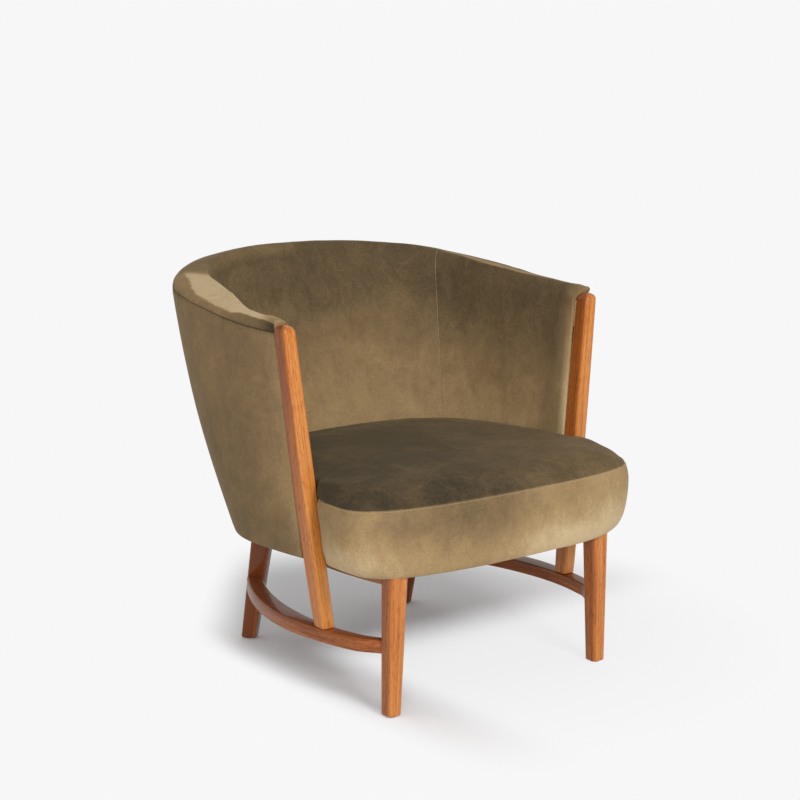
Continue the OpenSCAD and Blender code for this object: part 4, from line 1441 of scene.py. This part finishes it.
CAMERA_PLACE = (-2.0928, -2.7211, 1.1245)
CAMERA_AIM = (-0.0240, -0.0588, 0.4917)
CAMERA_LENS = 83.19
WORLD_LIGHT = 0.52
LAMPS = (("key", (-0.49, -3.48, 2.65), (0, 0, 0.2), 1.3, 78),
         ("fill", (-2.5, -3.1, 1.9), (0, 0, 0.3), 1.6, 52))
FLOOR_NEAR = (0.5, 0.85)
# Where the plain colour glows as painted light over the chair's shadow: beyond the left feet, to the left
# behind the chair, and mostly under the seat's front.
FLOOR_LEFT = (-0.31, -0.21)
FLOOR_REAR = (-0.40, -0.27)
FLOOR_FRONT = (-0.08, 0.12)
FLOOR_RIGHT = (-0.19, -0.08)
FLOOR_FRONT_SHARE = 0.8
FLOOR_HALF = 30.0


def aim_object(name, data, place, aim):
    """Put a camera or a lamp at a place, looking at another."""
    made = bpy.data.objects.new(name, data)
    bpy.context.collection.objects.link(made)
    made.location = place
    made.rotation_euler = (Vector(aim) - Vector(place)).to_track_quat("-Z", "Y").to_euler()
    return made


def build_camera():
    data = bpy.data.cameras.new("camera")
    data.sensor_width = 36
    data.lens = CAMERA_LENS
    data.clip_end = 100
    bpy.context.scene.camera = aim_object("camera", data, CAMERA_PLACE, CAMERA_AIM)


def add_lamp(name, place, aim, size, power):
    data = bpy.data.lights.new(name, "AREA")
    data.shape = "SQUARE"
    data.size = size
    data.energy = power
    aim_object(name, data, place, aim)


def build_floor(colours):
    """Pale floor: lit and shadowed near the chair, plain colour further off; painted light lifts the shadow
    in places.
    """
    board = Board(bpy.data.materials, "floor")
    place = board.place()
    parts = board.node("ShaderNodeSeparateXYZ", {}, {0: place})
    across, forward = Value(board, parts.outputs[0]), Value(board, parts.outputs[1])
    far = board.value("ShaderNodeVectorMath", {"operation": "LENGTH"}, {0: place}, output="Value")
    front = board.range(forward, *FLOOR_FRONT, 1.0, 0.0) * board.range(across, *FLOOR_RIGHT)
    left = board.range(across, *FLOOR_LEFT)
    rear = board.range(across * 0.79 - forward * 0.61, *FLOOR_REAR)
    near = board.range(far, *FLOOR_NEAR, 1.0, 0.0)
    # Painted light: the glow covers the shadow beyond the left feet, to the left behind the chair, and mostly
    # under the seat's front.
    painted_glow = 1 - near * left * rear * (1 - front * FLOOR_FRONT_SHARE)
    speck = board.noise(place, 40, 2)
    lit = board.value("ShaderNodeBsdfDiffuse", {}, {
        "Color": board.mix(speck * 0.02, tuple(colours.floor), (1, 1, 1))})
    glow = board.value("ShaderNodeEmission", {}, {"Color": tuple(colours.floor), "Strength": 1.0})
    seen = board.value("ShaderNodeLightPath", output="Is Camera Ray")
    material = board.finish(board.value("ShaderNodeMixShader", {}, {0: painted_glow * seen, 1: lit, 2: glow}))
    mesh = bpy.data.meshes.new("floor")
    corners = [(x * FLOOR_HALF, y * FLOOR_HALF, 0) for x, y in ((-1, -1), (1, -1), (1, 1), (-1, 1))]
    mesh.from_pydata(corners, [], [(0, 1, 2, 3)])
    mesh.materials.append(material)
    floor = bpy.data.objects.new("floor", mesh)
    bpy.context.collection.objects.link(floor)


def build_world(colours):
    """The floor's colour behind the chair, and white light from all sides."""
    board = Board(bpy.data.worlds, "studio")
    bpy.context.scene.world = board.owner
    shown = board.value("ShaderNodeBackground", {}, {"Color": tuple(colours.floor)})
    fill = board.value("ShaderNodeBackground", {}, {"Color": (1, 1, 1), "Strength": WORLD_LIGHT})
    seen = board.value("ShaderNodeLightPath", output="Is Camera Ray")
    both = board.value("ShaderNodeMixShader", {}, {0: seen, 1: fill, 2: shown})
    board.finish(both, "ShaderNodeOutputWorld")


# Operators

class Maker:
    """What the operators share: each makes its part from the scene's settings."""

    def execute(self, context):
        self.make(context.scene.tub_chair)
        return {"FINISHED"}


class TUBCHAIR_OT_back(Maker, bpy.types.Operator):
    """Make the velvet inside back with its roll, and the outside cover"""
    bl_idname = "tubchair.back"
    bl_label = "Velvet back"

    def make(self, settings):
        material = velvet(settings.finish)
        build_back_pad(settings, material, thread(settings.finish))
        build_back_cover(settings, material)


class TUBCHAIR_OT_seat(Maker, bpy.types.Operator):
    """Make the upholstered seat with its topstitched seam"""
    bl_idname = "tubchair.seat"
    bl_label = "Velvet seat"

    def make(self, settings):
        build_seat(settings, velvet(settings.finish), thread(settings.finish))


class TUBCHAIR_OT_legs(Maker, bpy.types.Operator):
    """Make the four tapered legs"""
    bl_idname = "tubchair.legs"
    bl_label = "Legs"

    def make(self, settings):
        side = SideFrame(settings.wood)
        material = wood(settings.finish)
        front = (side.front_axis, settings.wood.front_leg, FRONT_ROUND_SHARE, 0, FRONT_LEG_TONE)
        rear = (side.rear_axis, settings.wood.rear_leg, REAR_ROUND_SHARE, REAR_TURN, REAR_LEG_PAINTED_SHADE)
        for k, (word, sign) in enumerate(SIDES):
            build_leg("front_leg_" + word, side, *front, sign, material, FRONT_LEG_SEED + k)
            build_leg("rear_leg_" + word, side, *rear, sign, material, REAR_LEG_SEED + k)


class TUBCHAIR_OT_bars(Maker, bpy.types.Operator):
    """Make the bowed stretchers and the arm posts"""
    bl_idname = "tubchair.bars"
    bl_label = "Stretchers and posts"

    def make(self, settings):
        side = SideFrame(settings.wood)
        material = wood(settings.finish)
        for k, (word, sign) in enumerate(SIDES):
            build_stretcher("side_stretcher_" + word, side, sign, material, STRETCHER_SEED + k)
            build_post("arm_post_" + word, side, sign, material, POST_SEED + k)


class TUBCHAIR_OT_hidden(Maker, bpy.types.Operator):
    """Finish the pieces inside and under the chair"""
    bl_idname = "tubchair.hidden"
    bl_label = "Hidden frame"

    def make(self, settings):
        finishes = (
            (plain_grain("raw_wood", (0.42, 0.27, 0.13), (0.62, 0.45, 0.25), (9, 60, 140)),
             ("back_top_rail", "back_bottom_rail", "back_ribs", "seat_board", "post_dowels")),
            (plain_grain("webbing", (0.16, 0.11, 0.06), (0.34, 0.26, 0.16), (500, 500, 900), 0.85),
             ("seat_webbing",)),
            (plain_grain("dust_cloth", (0.010, 0.010, 0.011), (0.026, 0.026, 0.028), (420, 420, 420), 0.8),
             ("dust_cover",)),
            (plain_grain("glide", (0.012, 0.011, 0.010), (0.03, 0.028, 0.026), (200, 200, 200), 0.5),
             ("foot_glides",)),
            (plain_grain("rail_wood", (0.20, 0.075, 0.025), (0.40, 0.17, 0.06), (70, 6, 220), 0.45, 0.1),
             ("seat_rail_left", "seat_rail_right")),
            (steel(), ("frame_bolts", "back_bolts")))
        for material, nodes in finishes:
            for node in nodes:
                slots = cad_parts[node].data.materials
                for i in range(len(slots)):
                    slots[i] = material


class TUBCHAIR_OT_studio(Maker, bpy.types.Operator):
    """Set up the floor, the lamps, the background and the camera"""
    bl_idname = "tubchair.studio"
    bl_label = "Studio"

    def make(self, settings):
        bpy.context.scene.view_settings.view_transform = "Standard"
        build_floor(settings.finish)
        build_world(settings.finish)
        for lamp in LAMPS:
            add_lamp(*lamp)
        build_camera()


class TUBCHAIR_PT_panel(bpy.types.Panel):
    """Tub chair pieces"""
    bl_idname = "TUBCHAIR_PT_panel"
    bl_label = "Tub Chair"
    bl_space_type = "VIEW_3D"
    bl_region_type = "UI"
    bl_category = "Tub Chair"

    def draw(self, context):
        for operator in OPERATORS:
            self.layout.operator(operator.bl_idname)
        for group in ("shell", "seat", "wood", "finish"):
            box = self.layout.box()
            box.label(text=group.capitalize())
            sizes = getattr(context.scene.tub_chair, group)
            for name in sizes.__annotations__:
                box.prop(sizes, name, text=name.replace("_", " ").capitalize())


OPERATORS = (TUBCHAIR_OT_studio, TUBCHAIR_OT_back, TUBCHAIR_OT_seat, TUBCHAIR_OT_legs, TUBCHAIR_OT_bars,
             TUBCHAIR_OT_hidden)
CLASSES = (ShellSizes, SeatSizes, WoodSizes, Finishes, ChairSettings, *OPERATORS, TUBCHAIR_PT_panel)


def register():
    for item in CLASSES:
        bpy.utils.register_class(item)
    bpy.types.Scene.tub_chair = PointerProperty(type=ChairSettings)


def unregister():
    del bpy.types.Scene.tub_chair
    for item in reversed(CLASSES):
        bpy.utils.unregister_class(item)


def main():
    register()
    bpy.ops.tubchair.studio()
    bpy.ops.tubchair.back()
    bpy.ops.tubchair.seat()
    bpy.ops.tubchair.legs()
    bpy.ops.tubchair.bars()
    bpy.ops.tubchair.hidden()


if __name__ == "__main__":
    main()
